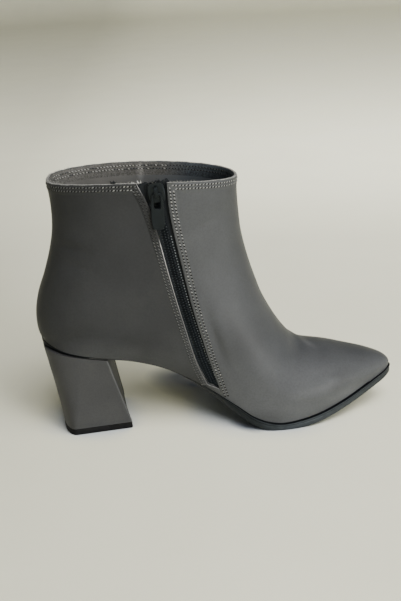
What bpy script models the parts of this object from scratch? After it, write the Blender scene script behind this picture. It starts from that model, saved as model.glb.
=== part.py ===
"""Heeled ankle boot, left foot, with a medial zip. Sizes in millimetres, +X to the toe, +Y lateral, +Z up."""
import math

import bmesh
import bpy
import numpy as np

for old in list(bpy.data.objects):
    bpy.data.objects.remove(old, do_unlink=True)

MM = 0.001

# Wall and fits
WALL = 2.0
GAP = 0.3
HALF_GAP = 0.15

# Sole, insole and heel
FLOOR_EASE = 2.0
FLOOR_EASE_RUN = 3.0
INSOLE_THICK = 2.0
INSOLE_INSET = 3.7
LIFT_THICK = 4.2

# Zip
TAPE_THICK = 0.8
TAPE_SPARE = 4.5
TAPE_SPARE_END = 0.8
TAPE_TAPER = 16.0
COIL_HALF = 2.7
COIL_TOP = -0.95
SLIDER_Z = 170.4
SLIDER_HALF_WIDTH = 5.4
SLIDER_HALF_LENGTH = 6.2
LIP_LOW = -1.9
PLATE_LOW = -0.5
PLATE_TOP = 0.7
ARCH_HALF_WIDTH = 1.1
ARCH_HALF_LENGTH = 3.9
ARCH_RISE = 0.6
ARCH_BAR = 1.0
ARCH_TOP = 4.2
ARCH_FOOT = 0.2
PIN_OUT = 1.85
PIN_DROP = 0.7
PIN_RADIUS = 0.65
TAB_THICK = 1.3
TAB_LENGTH = 23.2
TAB_HALF_WIDTH = 4.3
TAB_WINDOW_LENGTH = 9.4
TAB_LEAN = 0.0
TAB_WINDOW_HALF = 2.2

# How finely each piece is cut
FOOT_CUTS = 36
SHAFT_CUTS = 10
HALF_CUTS = 14
SOLE_CUTS = 36
SOLE_ACROSS = 4
HEEL_CUTS = 14
HEEL_ACROSS = 6
HEEL_STEPS = 6
TAB_CUTS = 32
SMOOTH_PASSES = 4
TURN_WEIGHT = 22.0

# Middle of the boot's box, moved to the origin
SHIFT_X = 0.3
SHIFT_Y = 1.65

# Colours
GREY_LEATHER = (0.14, 0.14, 0.135)
BLACK_SOLE = (0.015, 0.016, 0.018)
BLACK_TAPE = (0.008, 0.009, 0.012)
BLACK_COIL = (0.012, 0.014, 0.017)
BLACK_METAL = (0.012, 0.012, 0.014)
DARK_LINING = (0.03, 0.03, 0.032)

# One row for each section of the last, from the toe tip to the collar. top is the front line of the boot,
# low is the feather line underneath and then the back line; medial and lateral are the greatest half widths,
# widest says how far down the section they lie, foot_ is the half width at the feather line, crown and tuck
# say how square the section is above and below, bow lifts the middle of the section.
COLUMNS = ("top_x", "top_z", "low_x", "low_z", "top_y", "low_y", "medial", "lateral", "widest",
           "foot_medial", "foot_lateral", "crown", "tuck", "bow")
SECTIONS = (
    (122.3, 29.2, 122.1, 27.6, -3.0, -3.0, 0.0, 0.0, 0.60, 0.0, 0.0, 2.0, 2.0, 0.0),
    (121.1, 31.8, 120.7, 27.0, -3.0, -3.0, 4.7, 4.7, 0.60, 4.3, 4.3, 2.0, 2.0, 0.0),
    (117.9, 34.2, 117.0, 25.3, -2.9, -2.9, 9.1, 9.1, 0.60, 8.5, 8.4, 2.1, 2.0, 0.0),
    (112.4, 36.5, 110.2, 22.4, -2.6, -2.5, 14.2, 14.0, 0.62, 13.2, 12.9, 2.1, 2.0, 0.0),
    (103.8, 39.2, 99.5, 18.0, -2.2, -1.8, 21.0, 20.2, 0.64, 19.9, 19.0, 2.1, 2.0, 0.0),
    (93.0, 42.0, 85.5, 13.0, -1.8, -1.0, 29.3, 27.2, 0.65, 28.2, 25.8, 2.0, 2.0, 0.0),
    (81.6, 44.9, 69.5, 8.5, -1.2, -0.5, 37.0, 33.2, 0.65, 35.6, 31.7, 2.0, 2.0, 0.0),
    (71.4, 47.1, 53.5, 5.5, -0.8, 0.0, 41.6, 37.8, 0.65, 40.2, 36.0, 1.9, 2.0, 0.0),
    (62.8, 48.5, 38.0, 4.9, -0.4, 0.0, 43.2, 40.2, 0.64, 42.0, 38.4, 1.9, 2.0, 0.0),
    (56.4, 50.6, 23.5, 8.7, 0.0, 0.0, 41.5, 40.4, 0.60, 39.6, 38.2, 1.9, 2.0, 0.0),
    (50.6, 56.6, 9.5, 17.4, 0.0, 0.0, 38.0, 38.6, 0.56, 34.2, 36.3, 1.9, 2.1, 0.0),
    (44.4, 65.2, -5.0, 26.4, 0.0, 0.0, 35.6, 37.0, 0.52, 28.9, 33.8, 1.9, 2.2, 0.0),
    (38.0, 76.3, -20.5, 35.6, 0.0, 0.0, 34.4, 35.8, 0.48, 26.1, 31.0, 1.9, 2.3, 0.0),
    (32.5, 88.0, -37.0, 44.1, 0.0, 0.0, 33.8, 34.8, 0.46, 25.4, 29.4, 1.9, 2.5, 0.0),
    (28.5, 100.0, -55.0, 50.6, 0.0, 0.0, 33.6, 34.2, 0.45, 26.4, 29.2, 1.9, 2.7, 0.0),
    (25.3, 110.5, -73.5, 55.1, 0.0, 0.0, 33.6, 34.0, 0.45, 28.2, 29.4, 1.9, 2.8, 0.0),
    (23.0, 119.5, -90.5, 58.2, 0.0, 0.0, 33.6, 34.0, 0.44, 28.6, 29.0, 1.9, 2.9, 0.0),
    (21.4, 126.5, -105.0, 61.2, -0.4, 0.0, 33.6, 34.0, 0.43, 25.2, 25.5, 1.92, 2.9, 0.0),
    (20.4, 132.0, -115.8, 64.9, -0.8, 0.0, 33.6, 34.0, 0.425, 17.8, 18.0, 1.94, 2.9, 0.0),
    (19.8, 136.0, -121.0, 67.3, -1.1, 0.0, 33.6, 34.0, 0.42, 9.2, 9.3, 1.96, 2.9, 0.0),
    (19.5, 139.0, -122.6, 68.2, -1.3, 0.0, 33.6, 34.0, 0.42, 0.0, 0.0, 1.98, 2.9, 0.0),
    (19.2, 143.0, -124.3, 74.0, -1.5, 0.2, 33.5, 33.8, 0.42, 0.0, 0.0, 2.0, 2.8, 0.0),
    (18.9, 148.0, -124.4, 85.0, -1.8, 0.4, 33.3, 33.6, 0.43, 0.0, 0.0, 2.0, 2.7, 0.0),
    (18.6, 153.0, -121.5, 98.0, -2.0, 0.6, 33.2, 33.4, 0.44, 0.0, 0.0, 2.0, 2.6, 0.2),
    (18.4, 158.0, -116.0, 112.0, -2.3, 0.9, 33.0, 33.2, 0.45, 0.0, 0.0, 2.05, 2.6, 0.4),
    (18.3, 162.5, -110.8, 128.0, -2.5, 1.2, 33.0, 33.0, 0.46, 0.0, 0.0, 2.1, 2.5, 0.8),
    (18.3, 166.3, -107.6, 143.0, -2.7, 1.5, 33.0, 33.0, 0.475, 0.0, 0.0, 2.15, 2.5, 1.5),
    (18.4, 169.6, -107.0, 159.0, -2.9, 1.8, 33.0, 33.0, 0.49, 0.0, 0.0, 2.2, 2.5, 2.1),
    (18.8, 172.5, -108.4, 175.6, -3.0, 2.0, 33.0, 33.0, 0.50, 0.0, 0.0, 2.25, 2.5, 2.7),
)
HEEL_ROW = 20
LAST_ROW = len(SECTIONS) - 1

# The sole by place along the boot: thickness under the feather line, how far it stands out past the upper and
# how far its underside is cut back at the waist
SOLE_COLUMNS = ("x", "thick", "ledge", "bevel")
SOLE = (
    (-124.0, 5.2, 0.2, 0.0),
    (-114.0, 2.6, 0.1, 0.2),
    (-102.0, 1.5, 0.0, 0.4),
    (-76.0, 1.3, -0.5, 0.8),
    (-58.0, 1.6, -1.2, 3.5),
    (-38.0, 2.2, -1.2, 6.0),
    (-14.0, 3.4, 0.0, 5.0),
    (10.0, 4.6, 1.4, 1.5),
    (26.0, 5.0, 2.0, 0.0),
    (60.0, 5.0, 2.0, 0.0),
    (95.0, 5.2, 2.0, 0.0),
    (125.0, 5.6, 2.0, 0.0),
)

# The heel block from its seat to the floor: back and front along the boot, half widths, how much they fall
# towards the breast, how far the middle of the breast stands forward and how far its lateral end lies back,
# what share of the length the back takes to turn and how square that turn is
HEEL_COLUMNS = ("drop", "back", "front", "medial", "lateral", "fall_medial", "fall_lateral", "breast", "skew",
                "bend", "square")
HEEL_LEVELS = (
    (0.00, -121.8, -76.0, 28.2, 28.4, 0.4, 0.2, 1.4, 2.5, 0.60, 2.5),
    (0.25, -119.2, -72.8, 28.4, 28.2, 1.4, 0.3, 0.8, 3.5, 0.50, 2.4),
    (0.50, -116.6, -69.4, 28.8, 28.2, 2.8, 0.5, 0.2, 4.8, 0.40, 2.2),
    (0.75, -114.3, -66.0, 29.4, 28.2, 4.4, 0.7, -0.4, 6.0, 0.30, 2.1),
    (1.00, -112.3, -62.6, 30.0, 28.2, 6.0, 0.9, -1.0, 7.0, 0.21, 2.0),
)

# The zip's middle line on the medial side, from the collar down, and how far its slot opens to back and front
ZIP_COLUMNS = ("x", "z", "back", "front")
ZIP_LINE = (
    (-37.2, 186.0, 14.0, 9.0),
    (-36.2, 176.0, 11.0, 7.9),
    (-34.9, 166.0, 7.6, 6.6),
    (-33.1, 155.0, 6.0, 5.5),
    (-30.9, 141.5, 5.2, 5.2),
    (-26.7, 119.0, 4.9, 4.9),
    (-22.2, 96.0, 4.5, 4.5),
    (-18.6, 80.0, 4.3, 4.3),
    (-15.2, 66.0, 4.4, 4.4),
    (-12.0, 53.0, 4.4, 4.4),
    (-9.0, 43.0, 4.1, 4.1),
    (-5.7, 33.0, 3.6, 3.6),
    (-4.2, 28.5, 3.4, 3.4),
)
SLOT_TOP = 184.0
SLOT_END = 30.2
TAPE_START = 177.2
TAPE_END = 29.5
COIL_START = 176.8
END_SLANT = 2.6
END_SLANT_RUN = 14.0


def curve(values, place, mirror_start=False, mirror_end=False):
    """Smooth curve through evenly placed values; a mirrored end leaves level."""
    v = np.asarray(values, float)
    head = v[1] if mirror_start else 2 * v[0] - v[1]
    tail = v[-2] if mirror_end else 2 * v[-1] - v[-2]
    v = np.concatenate(([head], v, [tail]))
    k = int(min(max(math.floor(place), 0), len(v) - 4))
    s = place - k
    a, b, c, d = v[k:k + 4]
    return b + 0.5 * s * (c - a + s * (2 * a - 5 * b + 4 * c - d + s * (3 * (b - c) + d - a)))


TABLE = {name: [row[i] for row in SECTIONS] for i, name in enumerate(COLUMNS)}
LEVEL_AT_TOE = ("top_x", "low_x", "low_z", "top_y", "low_y", "widest")
SPLIT_AT_HEEL = ("low_x", "low_z", "foot_medial", "foot_lateral")


def section_row(u):
    """Every column of the section table at row u, rows counted from the toe."""
    out = []
    for name in COLUMNS:
        values = TABLE[name]
        level = name in LEVEL_AT_TOE
        if name not in SPLIT_AT_HEEL:
            out.append(curve(values, u, level))
        elif u <= HEEL_ROW:
            out.append(curve(values[:HEEL_ROW + 1], u, level, name in ("low_x", "low_z")))
        elif name in ("foot_medial", "foot_lateral"):
            out.append(0.0)
        else:
            out.append(curve(values[HEEL_ROW:], u - HEEL_ROW))
    return out


FINE_STEPS = 50
FINE = np.array([section_row(i / FINE_STEPS) for i in range(LAST_ROW * FINE_STEPS + 1)])


def section(u):
    """Section at row u by column name."""
    place = min(max(u * FINE_STEPS, 0.0), len(FINE) - 1.001)
    k = int(place)
    return dict(zip(COLUMNS, FINE[k] + (FINE[k + 1] - FINE[k]) * (place - k)))


def half_width(sec, side, t):
    """Half width of a section at t, from 0 on the front line to 1 at the feather or back line."""
    wide = sec[side]
    split = sec["widest"]
    if wide < 1e-6:
        return 0.0
    if t < split:
        p = sec["crown"]
        return wide * max(1 - (1 - t / split) ** p, 0.0) ** (1 / p)
    q = sec["tuck"]
    foot = min(max(sec["foot_" + side], 0.0) / wide, 1.0)
    reach = max(1 - foot ** q, 0.0) ** (1 / q)
    return wide * max(1 - (reach * (t - split) / (1 - split)) ** q, 0.0) ** (1 / q)


def frame_of(sec):
    """Start, run and upward direction of a section in the side view."""
    top = np.array((sec["top_x"], sec["top_z"]))
    run = np.array((sec["low_x"], sec["low_z"])) - top
    up = np.array((run[1], -run[0])) / max(np.linalg.norm(run), 1e-6)
    return top, run, up


def skin_point(sec, side, t):
    """Point of the outer skin."""
    top, run, up = frame_of(sec)
    flat = top + run * t + up * sec["bow"] * 4 * t * (1 - t)
    mid = sec["top_y"] + (sec["low_y"] - sec["top_y"]) * t
    sign = -1 if side == "medial" else 1
    return np.array((flat[0], mid + sign * half_width(sec, side, t), flat[1]))


def half_section(u, side, count):
    """Points down one side of a section, front line first, closer together where it turns."""
    sec = section(u)
    split = sec["widest"]
    ease = np.linspace(0, math.pi / 2, 60)
    ts = np.concatenate((split * (1 - np.cos(ease)), split + (1 - split) * np.sin(ease[1:])))
    pts = np.array([skin_point(sec, side, min(t, 1.0)) for t in ts])
    step = np.diff(pts, axis=0)
    length = np.maximum(np.linalg.norm(step, axis=1), 1e-9)
    aim = step / length[:, None]
    turn = np.arccos(np.clip((aim[1:] * aim[:-1]).sum(axis=1), -1, 1))
    corner = np.concatenate((turn[:1], turn, turn[-1:]))
    walk = np.concatenate(([0.0], np.cumsum(length + TURN_WEIGHT * (corner[1:] + corner[:-1]) / 2)))
    goal = np.linspace(0, walk[-1], count + 1)
    return np.column_stack([np.interp(goal, walk, pts[:, k]) for k in range(3)])


def medial_y(x, z):
    """Place of the medial skin behind the point x, z of the side view; straight above the collar."""
    low = 0.0
    high = float(LAST_ROW)
    for _ in range(30):
        mid = (low + high) / 2
        sec = section(mid)
        top, run, up = frame_of(sec)
        away = np.array((x, z)) - top
        t = min(max(away @ run / max(run @ run, 1e-6), 0.0), 1.0)
        if away @ up - sec["bow"] * 4 * t * (1 - t) < 0:
            high = mid
        else:
            low = mid
    return skin_point(sec, "medial", t)[1]


def medial_frame(x, z):
    """Skin point and outward normal at x, z of the side view."""
    step = 1.0
    y = medial_y(x, z)
    slope_x = (medial_y(x + step, z) - medial_y(x - step, z)) / (2 * step)
    slope_z = (medial_y(x, z + step) - medial_y(x, z - step)) / (2 * step)
    normal = np.array((slope_x, -1.0, slope_z))
    return np.array((x, y, z)), normal / np.linalg.norm(normal)


FEATHER = [section(u) for u in np.linspace(0, HEEL_ROW, 241)]
FEATHER_X = np.array([s["low_x"] for s in FEATHER])[::-1]
FEATHER_Z = np.array([s["low_z"] for s in FEATHER])[::-1]


def feather_z(x):
    """Height of the feather line, where the upper meets the sole."""
    return float(np.interp(x, FEATHER_X, FEATHER_Z))


def eased_table(rows, column, width=14.0):
    """A short table by place along the boot, with its corners rounded."""
    values = np.array(rows)
    xs = np.linspace(-126, 126, 253)
    near = np.linspace(-width / 2, width / 2, 15)
    spread = np.mean([np.interp(xs + n, values[:, 0], values[:, column]) for n in near], axis=0)
    return xs, spread


SOLE_THICK = eased_table(SOLE, SOLE_COLUMNS.index("thick"))
SOLE_LEDGE = eased_table(SOLE, SOLE_COLUMNS.index("ledge"))
SOLE_BEVEL = eased_table(SOLE, SOLE_COLUMNS.index("bevel"))


def sole_top(x):
    return feather_z(x) - GAP


def sole_ledge(x):
    """How far the sole stands out past the upper."""
    return float(np.interp(x, *SOLE_LEDGE))


def sole_bottom(x):
    """Underside of the sole, flat on the floor under the ball."""
    lift = max(sole_top(x) - float(np.interp(x, *SOLE_THICK)), 0.0)
    return lift * lift / (lift + FLOOR_EASE * math.exp(-lift / FLOOR_EASE_RUN))


def foot_outline(grow, count):
    """Medial and lateral feather points from heel to toe, moved out by grow(x) in plan."""
    us = np.linspace(HEEL_ROW, 0, count + 1)
    sides = []
    for sign, name in ((-1, "foot_medial"), (1, "foot_lateral")):
        fine = np.array([(s["low_x"], s["low_y"] + sign * s[name]) for s in map(section, us)])
        ahead = np.gradient(fine, axis=0)
        ahead[0] = (0.0, sign)
        ahead[-1] = (0.0, -sign)
        out = np.column_stack((-ahead[:, 1], ahead[:, 0])) * sign
        out /= np.linalg.norm(out, axis=1)[:, None]
        reach = np.array([grow(x) for x in fine[:, 0]])
        sides.append(fine + out * reach[:, None])
    return sides


def make_object(name, verts, faces, colour, rough, metal=0.0, place=(0.0, 0.0, 0.0), sharp=35.0):
    """Closed mesh object from millimetre points, with its own material."""
    mesh = bpy.data.meshes.new(name)
    work = bmesh.new()
    shift = np.array((SHIFT_X, SHIFT_Y, 0.0)) - np.array(place)
    points = [work.verts.new((np.asarray(v) + shift) * MM) for v in verts]
    for face in faces:
        ring = list(dict.fromkeys(face))
        if len(ring) > 2:
            work.faces.new([points[i] for i in ring])
    bmesh.ops.remove_doubles(work, verts=work.verts, dist=2e-6)
    bmesh.ops.dissolve_degenerate(work, edges=work.edges, dist=1e-7)
    bmesh.ops.recalc_face_normals(work, faces=work.faces)
    bmesh.ops.triangulate(work, faces=work.faces)
    work.to_mesh(mesh)
    work.free()
    for polygon in mesh.polygons:
        polygon.use_smooth = True
    mesh.set_sharp_from_angle(angle=math.radians(sharp))
    obj = bpy.data.objects.new(name, mesh)
    obj.location = np.array(place) * MM
    bpy.context.scene.collection.objects.link(obj)
    material = bpy.data.materials.new(name + "_material")
    material.use_nodes = True
    shader = material.node_tree.nodes["Principled BSDF"]
    shader.inputs["Base Color"].default_value = (*colour, 1.0)
    shader.inputs["Roughness"].default_value = rough
    shader.inputs["Metallic"].default_value = metal
    mesh.materials.append(material)
    return obj


def grid_faces(start, rows, cols, flip=False):
    """Quads of a rows by cols block of points numbered from start."""
    faces = []
    for i in range(rows - 1):
        for k in range(cols - 1):
            a = start + i * cols + k
            quad = (a, a + 1, a + cols + 1, a + cols)
            faces.append(quad[::-1] if flip else quad)
    return faces


def rim_of(rows, cols):
    """Numbers of the points round the edge of a block."""
    ring = [i * cols for i in range(rows)]
    ring += [(rows - 1) * cols + k for k in range(1, cols)]
    ring += [i * cols + cols - 1 for i in range(rows - 2, -1, -1)]
    ring += [k for k in range(cols - 2, 0, -1)]
    return ring


def stack(levels):
    """Solid from blocks of points laid one below another; only the first and last show inside their rim."""
    rows, cols = levels[0].shape[:2]
    ring = rim_of(rows, cols)
    verts = []
    faces = []
    rims = []
    for n, level in enumerate(levels):
        flat = level.reshape(-1, 3)
        start = len(verts)
        if n in (0, len(levels) - 1):
            verts.extend(flat)
            faces.extend(grid_faces(start, rows, cols, n > 0))
            rims.append([start + i for i in ring])
        else:
            verts.extend(flat[ring])
            rims.append(list(range(start, start + len(ring))))
    for upper_rim, lower_rim in zip(rims, rims[1:]):
        for i in range(len(ring)):
            k = (i + 1) % len(ring)
            faces.append((upper_rim[i], upper_rim[k], lower_rim[k], lower_rim[i]))
    return verts, faces


def sole_level(inset, grow, height, count, across):
    """Block of points over the sole outline; height(x) gives z."""
    medial, lateral = foot_outline(lambda x: grow(x) - inset, count)
    share = np.linspace(0, 1, across + 1)[None, :, None]
    plan = medial[:, None, :] * (1 - share) + lateral[:, None, :] * share
    z = np.array([[height(x) for x in row] for row in plan[:, :, 0]])
    return np.concatenate((plan, z[:, :, None]), axis=2)


# Upper: outer skin, inner skin one wall inside it, rims at the collar and the feather line
def upper_grid():
    """Skin points by section and side, and the number of each in one list."""
    us = np.concatenate((np.linspace(0, HEEL_ROW, FOOT_CUTS + 1),
                         np.linspace(HEEL_ROW, LAST_ROW, SHAFT_CUTS + 1)[1:]))
    lines = []
    for u in us:
        medial = half_section(u, "medial", HALF_CUTS)
        lateral = half_section(u, "lateral", HALF_CUTS)
        lines.append(np.concatenate((medial[::-1], lateral[1:])))
    lines = np.array(lines)
    inward = HALF_CUTS - np.abs(np.arange(2 * HALF_CUTS + 1) - HALF_CUTS)
    keep = np.minimum(inward / 3.0, 1.0)[None, :, None] * 0.5
    near = slice(FOOT_CUTS - 6, FOOT_CUTS + 5)
    for _ in range(SMOOTH_PASSES):
        around = (lines[FOOT_CUTS - 7:FOOT_CUTS + 4] + lines[FOOT_CUTS - 5:FOOT_CUTS + 6]) / 2
        lines[near] += (around - lines[near]) * keep
    verts = []
    index = []
    for n, line in enumerate(lines):
        row = []
        for k, point in enumerate(line):
            if n == 0 and k > HALF_CUTS:
                row.append(row[2 * HALF_CUTS - k])
            elif n >= FOOT_CUTS and k == 2 * HALF_CUTS:
                row.append(row[0])
            else:
                row.append(len(verts))
                verts.append(point)
        index.append(row)
    return np.array(verts), index


def skin_normals(verts, faces):
    """Outward direction at each skin point, shared by the faces round it."""
    out = np.zeros_like(verts)
    for face in faces:
        ring = list(dict.fromkeys(face))
        a, b, c = verts[ring[0]], verts[ring[1]], verts[ring[2]]
        turn = np.cross(b - a, c - a)
        if len(ring) > 3:
            turn = turn + np.cross(c - a, verts[ring[3]] - a)
        for i in ring:
            out[i] += turn
    return out / np.linalg.norm(out, axis=1)[:, None]


def build_upper():
    outer, index = upper_grid()
    faces = []
    for before, after in zip(index, index[1:]):
        for k in range(2 * HALF_CUTS):
            faces.append((before[k], before[k + 1], after[k + 1], after[k]))
    solid = [f for f in faces if len(set(f)) > 2]
    normal = skin_normals(outer, solid)
    middle = outer[index[len(index) // 2][HALF_CUTS]]
    if normal[index[len(index) // 2][HALF_CUTS]] @ (middle - outer.mean(axis=0)) < 0:
        normal = -normal
    inner = outer - normal * WALL
    edge = [row[0] for row in index[:FOOT_CUTS + 1]] + [row[-1] for row in index[:FOOT_CUTS + 1]]
    for i in set(edge):
        inner[i, 2] = outer[i, 2]
    count = len(outer)
    all_faces = list(solid) + [tuple(i + count for i in f[::-1]) for f in solid]
    open_edges = {}
    for face in solid:
        ring = list(dict.fromkeys(face))
        for a, b in zip(ring, ring[1:] + ring[:1]):
            if (b, a) in open_edges:
                del open_edges[(b, a)]
            else:
                open_edges[(a, b)] = True
    for a, b in open_edges:
        all_faces.append((b, a, a + count, b + count))
    return make_object("upper", np.concatenate((outer, inner)), all_faces, GREY_LEATHER, 0.5)


# Zip: everything follows the medial skin along one line
ZIP_FINE = np.array([[curve([row[c] for row in ZIP_LINE], v) for c in range(len(ZIP_COLUMNS))]
                     for v in np.linspace(0, len(ZIP_LINE) - 1, 260)])


def zip_at(z):
    """Middle of the zip, how far its slot opens to back and front, and the way down, at a height."""
    x, back, front = (np.interp(-z, -ZIP_FINE[:, 1], ZIP_FINE[:, c]) for c in (0, 2, 3))
    lower = np.interp(1 - z, -ZIP_FINE[:, 1], ZIP_FINE[:, 0])
    down = np.array((lower - x, -1.0))
    return np.array((x, z)), (float(back), float(front)), down / np.linalg.norm(down)


def zip_point(z, side, out):
    """Point beside the zip's middle line, out from the skin."""
    mid, _, down = zip_at(z)
    flat = mid + np.array((-down[1], down[0])) * side
    point, normal = medial_frame(flat[0], flat[1])
    return point + normal * out


def ribbon(heights, half, top_line, bottom):
    """Strip along the zip; top_line lists across shares and how far out the face stands there."""
    top = []
    low = []
    for z in heights:
        back, front = half(z)
        slant = END_SLANT * max(1 - (z - heights[-1]) / END_SLANT_RUN, 0.0)
        sides = [share * (back if share < 0 else front) for share, _ in top_line]
        drops = [z - slant * share for share, _ in top_line]
        top.append([zip_point(d, side, out) for d, side, (_, out) in zip(drops, sides, top_line)])
        low.append([zip_point(d, side, bottom) for d, side in zip(drops, sides)])
    return stack([np.array(top), np.array(low)])


def tape_half(z):
    """Half width of the tape, narrower just above the sole."""
    share = min((z - TAPE_END) / TAPE_TAPER, (TAPE_START - z) / TAPE_TAPER * 2, 1.0)
    spare = TAPE_SPARE_END + (TAPE_SPARE - TAPE_SPARE_END) * share
    back, front = zip_at(z)[1]
    return back + spare, front + spare


def build_zip(upper):
    """Slot in the upper, tape behind it and the coil on the tape."""
    heights = np.linspace(SLOT_TOP, SLOT_END, 40)
    slot = ribbon(heights, lambda z: zip_at(z)[1], ((-1, 6.0), (0, 6.0), (1, 6.0)), -6.0)
    cutter = make_object("slot_cutter", slot[0], slot[1], BLACK_TAPE, 0.8)
    cutter.hide_render = True
    cutter.display_type = "WIRE"
    cut = upper.modifiers.new("zip_slot", "BOOLEAN")
    cut.operation = "DIFFERENCE"
    cut.solver = "EXACT"
    cut.object = cutter
    face = -WALL - GAP - 0.2
    heights = np.linspace(TAPE_START, TAPE_END, 36)
    line = [(share, face) for share in (-1, -0.5, 0, 0.5, 1)]
    tape = ribbon(heights, tape_half, line, face - TAPE_THICK)
    make_object("zip_tape", tape[0], tape[1], BLACK_TAPE, 0.85)
    heights = np.linspace(COIL_START, SLOT_END + 1.4, 30)
    foot = face + GAP
    line = ((-1, foot + 0.5), (-0.55, COIL_TOP), (0, COIL_TOP - 0.4), (0.55, COIL_TOP), (1, foot + 0.5))
    coil = ribbon(heights, lambda z: (COIL_HALF, COIL_HALF), line, foot)
    make_object("zip_coil", coil[0], coil[1], BLACK_COIL, 0.45)


def build_slider():
    """Slider body with its bridge, and the pull tab that swings on the bridge."""
    mid, _, down = zip_at(SLIDER_Z)
    point, out = medial_frame(mid[0], mid[1])
    below, _ = medial_frame(*(mid + down * 6.0))
    fall = below - point
    fall = fall - out * (fall @ out)
    fall /= np.linalg.norm(fall)
    across = np.cross(out, fall)

    def world(a, d, o):
        return point + across * a + fall * d + out * o

    verts = []
    faces = []
    steps = 9
    for d in np.linspace(-1, 1, steps):
        w = SLIDER_HALF_WIDTH - (1.3 if d < 0 else 1.0) * abs(d) ** 2.5
        lip = w - 1.0
        lift = 0.35 * d * d
        ring = ((-w, LIP_LOW), (-w, PLATE_TOP - lift - 0.3), (-w + 0.5, PLATE_TOP - lift * 0.5), (0, PLATE_TOP),
                (w - 0.5, PLATE_TOP - lift * 0.5), (w, PLATE_TOP - lift - 0.3), (w, LIP_LOW),
                (lip, LIP_LOW), (lip, PLATE_LOW), (-lip, PLATE_LOW), (-lip, LIP_LOW))
        verts.extend(world(a, d * SLIDER_HALF_LENGTH, o) for a, o in ring)
    size = len(ring)
    for i in range(steps - 1):
        for k in range(size):
            n = (k + 1) % size
            faces.append((i * size + k, i * size + n, (i + 1) * size + n, (i + 1) * size + k))
    faces.append(tuple(range(size)))
    faces.append(tuple((steps - 1) * size + k for k in range(size - 1, -1, -1)))
    slider = make_object("zip_slider", verts, faces, BLACK_METAL, 0.35, 0.9)

    arch = []
    bends = 10
    for bend in np.linspace(0, math.pi, bends + 1):
        c = math.cos(bend)
        s = math.sin(bend) ** 0.4 if 0 < bend < math.pi else 0.0
        arch.append((c * ARCH_HALF_LENGTH - ARCH_RISE, ARCH_FOOT + (ARCH_TOP - ARCH_FOOT) * s,
                     c * (ARCH_HALF_LENGTH - ARCH_BAR) - ARCH_RISE,
                     ARCH_FOOT + (ARCH_TOP - ARCH_BAR - ARCH_FOOT) * s))
    verts = []
    for outer_d, outer_o, inner_d, inner_o in arch:
        for a in (-ARCH_HALF_WIDTH, ARCH_HALF_WIDTH):
            verts.append(world(a, outer_d, outer_o))
            verts.append(world(a, inner_d, inner_o))
    faces = []
    for i in range(bends):
        b = 4 * i
        for p, q in ((0, 1), (1, 3), (3, 2), (2, 0)):
            faces.append((b + p, b + q, b + 4 + q, b + 4 + p))
    faces.append((0, 2, 3, 1))
    last = 4 * bends
    faces.append((last, last + 1, last + 3, last + 2))
    bridge = make_object("slider_bridge_guide", verts, faces, BLACK_METAL, 0.35, 0.9)
    bridge.hide_render = True
    bridge.display_type = "WIRE"
    join = slider.modifiers.new("bridge", "BOOLEAN")
    join.operation = "UNION"
    join.solver = "EXACT"
    join.object = bridge

    pin = world(0, PIN_DROP, PIN_OUT)
    plumb = np.array((TAB_LEAN, 0.0, -1.0))
    fall = plumb - out * (plumb @ out)
    fall /= np.linalg.norm(fall)
    across = np.cross(out, fall)
    outer_line, inner_line = tab_lines()
    half = TAB_THICK / 2
    rings = ((outer_line, -0.25, -half), (outer_line, 0.0, -half + 0.25), (outer_line, 0.0, half - 0.25),
             (outer_line, -0.25, half), (inner_line, 0.25, half), (inner_line, 0.0, half - 0.25),
             (inner_line, 0.0, -half + 0.25), (inner_line, 0.25, -half))
    verts = []
    for line, grow, o in rings:
        edge = np.roll(line, -1, axis=0) - np.roll(line, 1, axis=0)
        side = np.column_stack((edge[:, 1], -edge[:, 0]))
        side /= np.linalg.norm(side, axis=1)[:, None]
        for a, d in line + side * grow:
            verts.append(pin + across * a + fall * d + out * o)
    count = len(outer_line)
    faces = []
    for r in range(len(rings)):
        n = (r + 1) % len(rings)
        for i in range(count):
            k = (i + 1) % count
            faces.append((r * count + i, r * count + k, n * count + k, n * count + i))
    place = pin + np.array((SHIFT_X, SHIFT_Y, 0.0))
    make_object("zip_pull_tab", verts, faces, BLACK_METAL, 0.4, 0.6, place)


def tab_lines():
    """Outline of the pull tab and of its window, from the pin at 0, 0 with the tab hanging down."""
    outer = []
    inner = []
    top = PIN_RADIUS
    low = TAB_LENGTH
    for angle in np.linspace(0, 2 * math.pi, TAB_CUTS, endpoint=False):
        c = math.cos(angle)
        s = math.sin(angle)
        power = 2 / 5.0
        a = math.copysign(abs(s) ** power, s)
        d = math.copysign(abs(c) ** power, c)
        mid = (low - top) / 2
        reach = (low + top) / 2
        y = mid - d * reach
        share = (y + top) / (low + top)
        wide = TAB_HALF_WIDTH * (0.84 + 0.16 * min(share / 0.5, 1.0)) - 0.8 * max(share - 0.7, 0.0)
        outer.append((a * wide, y))
        power = 2 / 7.0
        a = math.copysign(abs(s) ** power, s)
        d = math.copysign(abs(c) ** power, c)
        window_mid = (TAB_WINDOW_LENGTH + PIN_RADIUS) / 2
        window_half = (TAB_WINDOW_LENGTH - PIN_RADIUS) / 2
        inner.append((a * TAB_WINDOW_HALF, window_mid - d * window_half))
    return np.array(outer), np.array(inner)


# Sole, insole, heel and top piece
def build_outsole():
    def dip(share):
        return lambda x: sole_top(x) + (sole_bottom(x) - sole_top(x)) * share

    def grow(cut):
        return lambda x: sole_ledge(x) - cut * float(np.interp(x, *SOLE_BEVEL))

    levels = [sole_level(inset, grow(cut), dip(share), SOLE_CUTS, SOLE_ACROSS)
              for inset, share, cut in ((0.0, 0.0, 0.0), (0.0, 0.16, 0.0), (0.5, 0.30, 0.2), (0.4, 0.80, 0.75),
                                        (1.0, 1.0, 1.0))]
    verts, faces = stack(levels)
    return make_object("outsole", verts, faces, BLACK_SOLE, 0.6)


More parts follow.
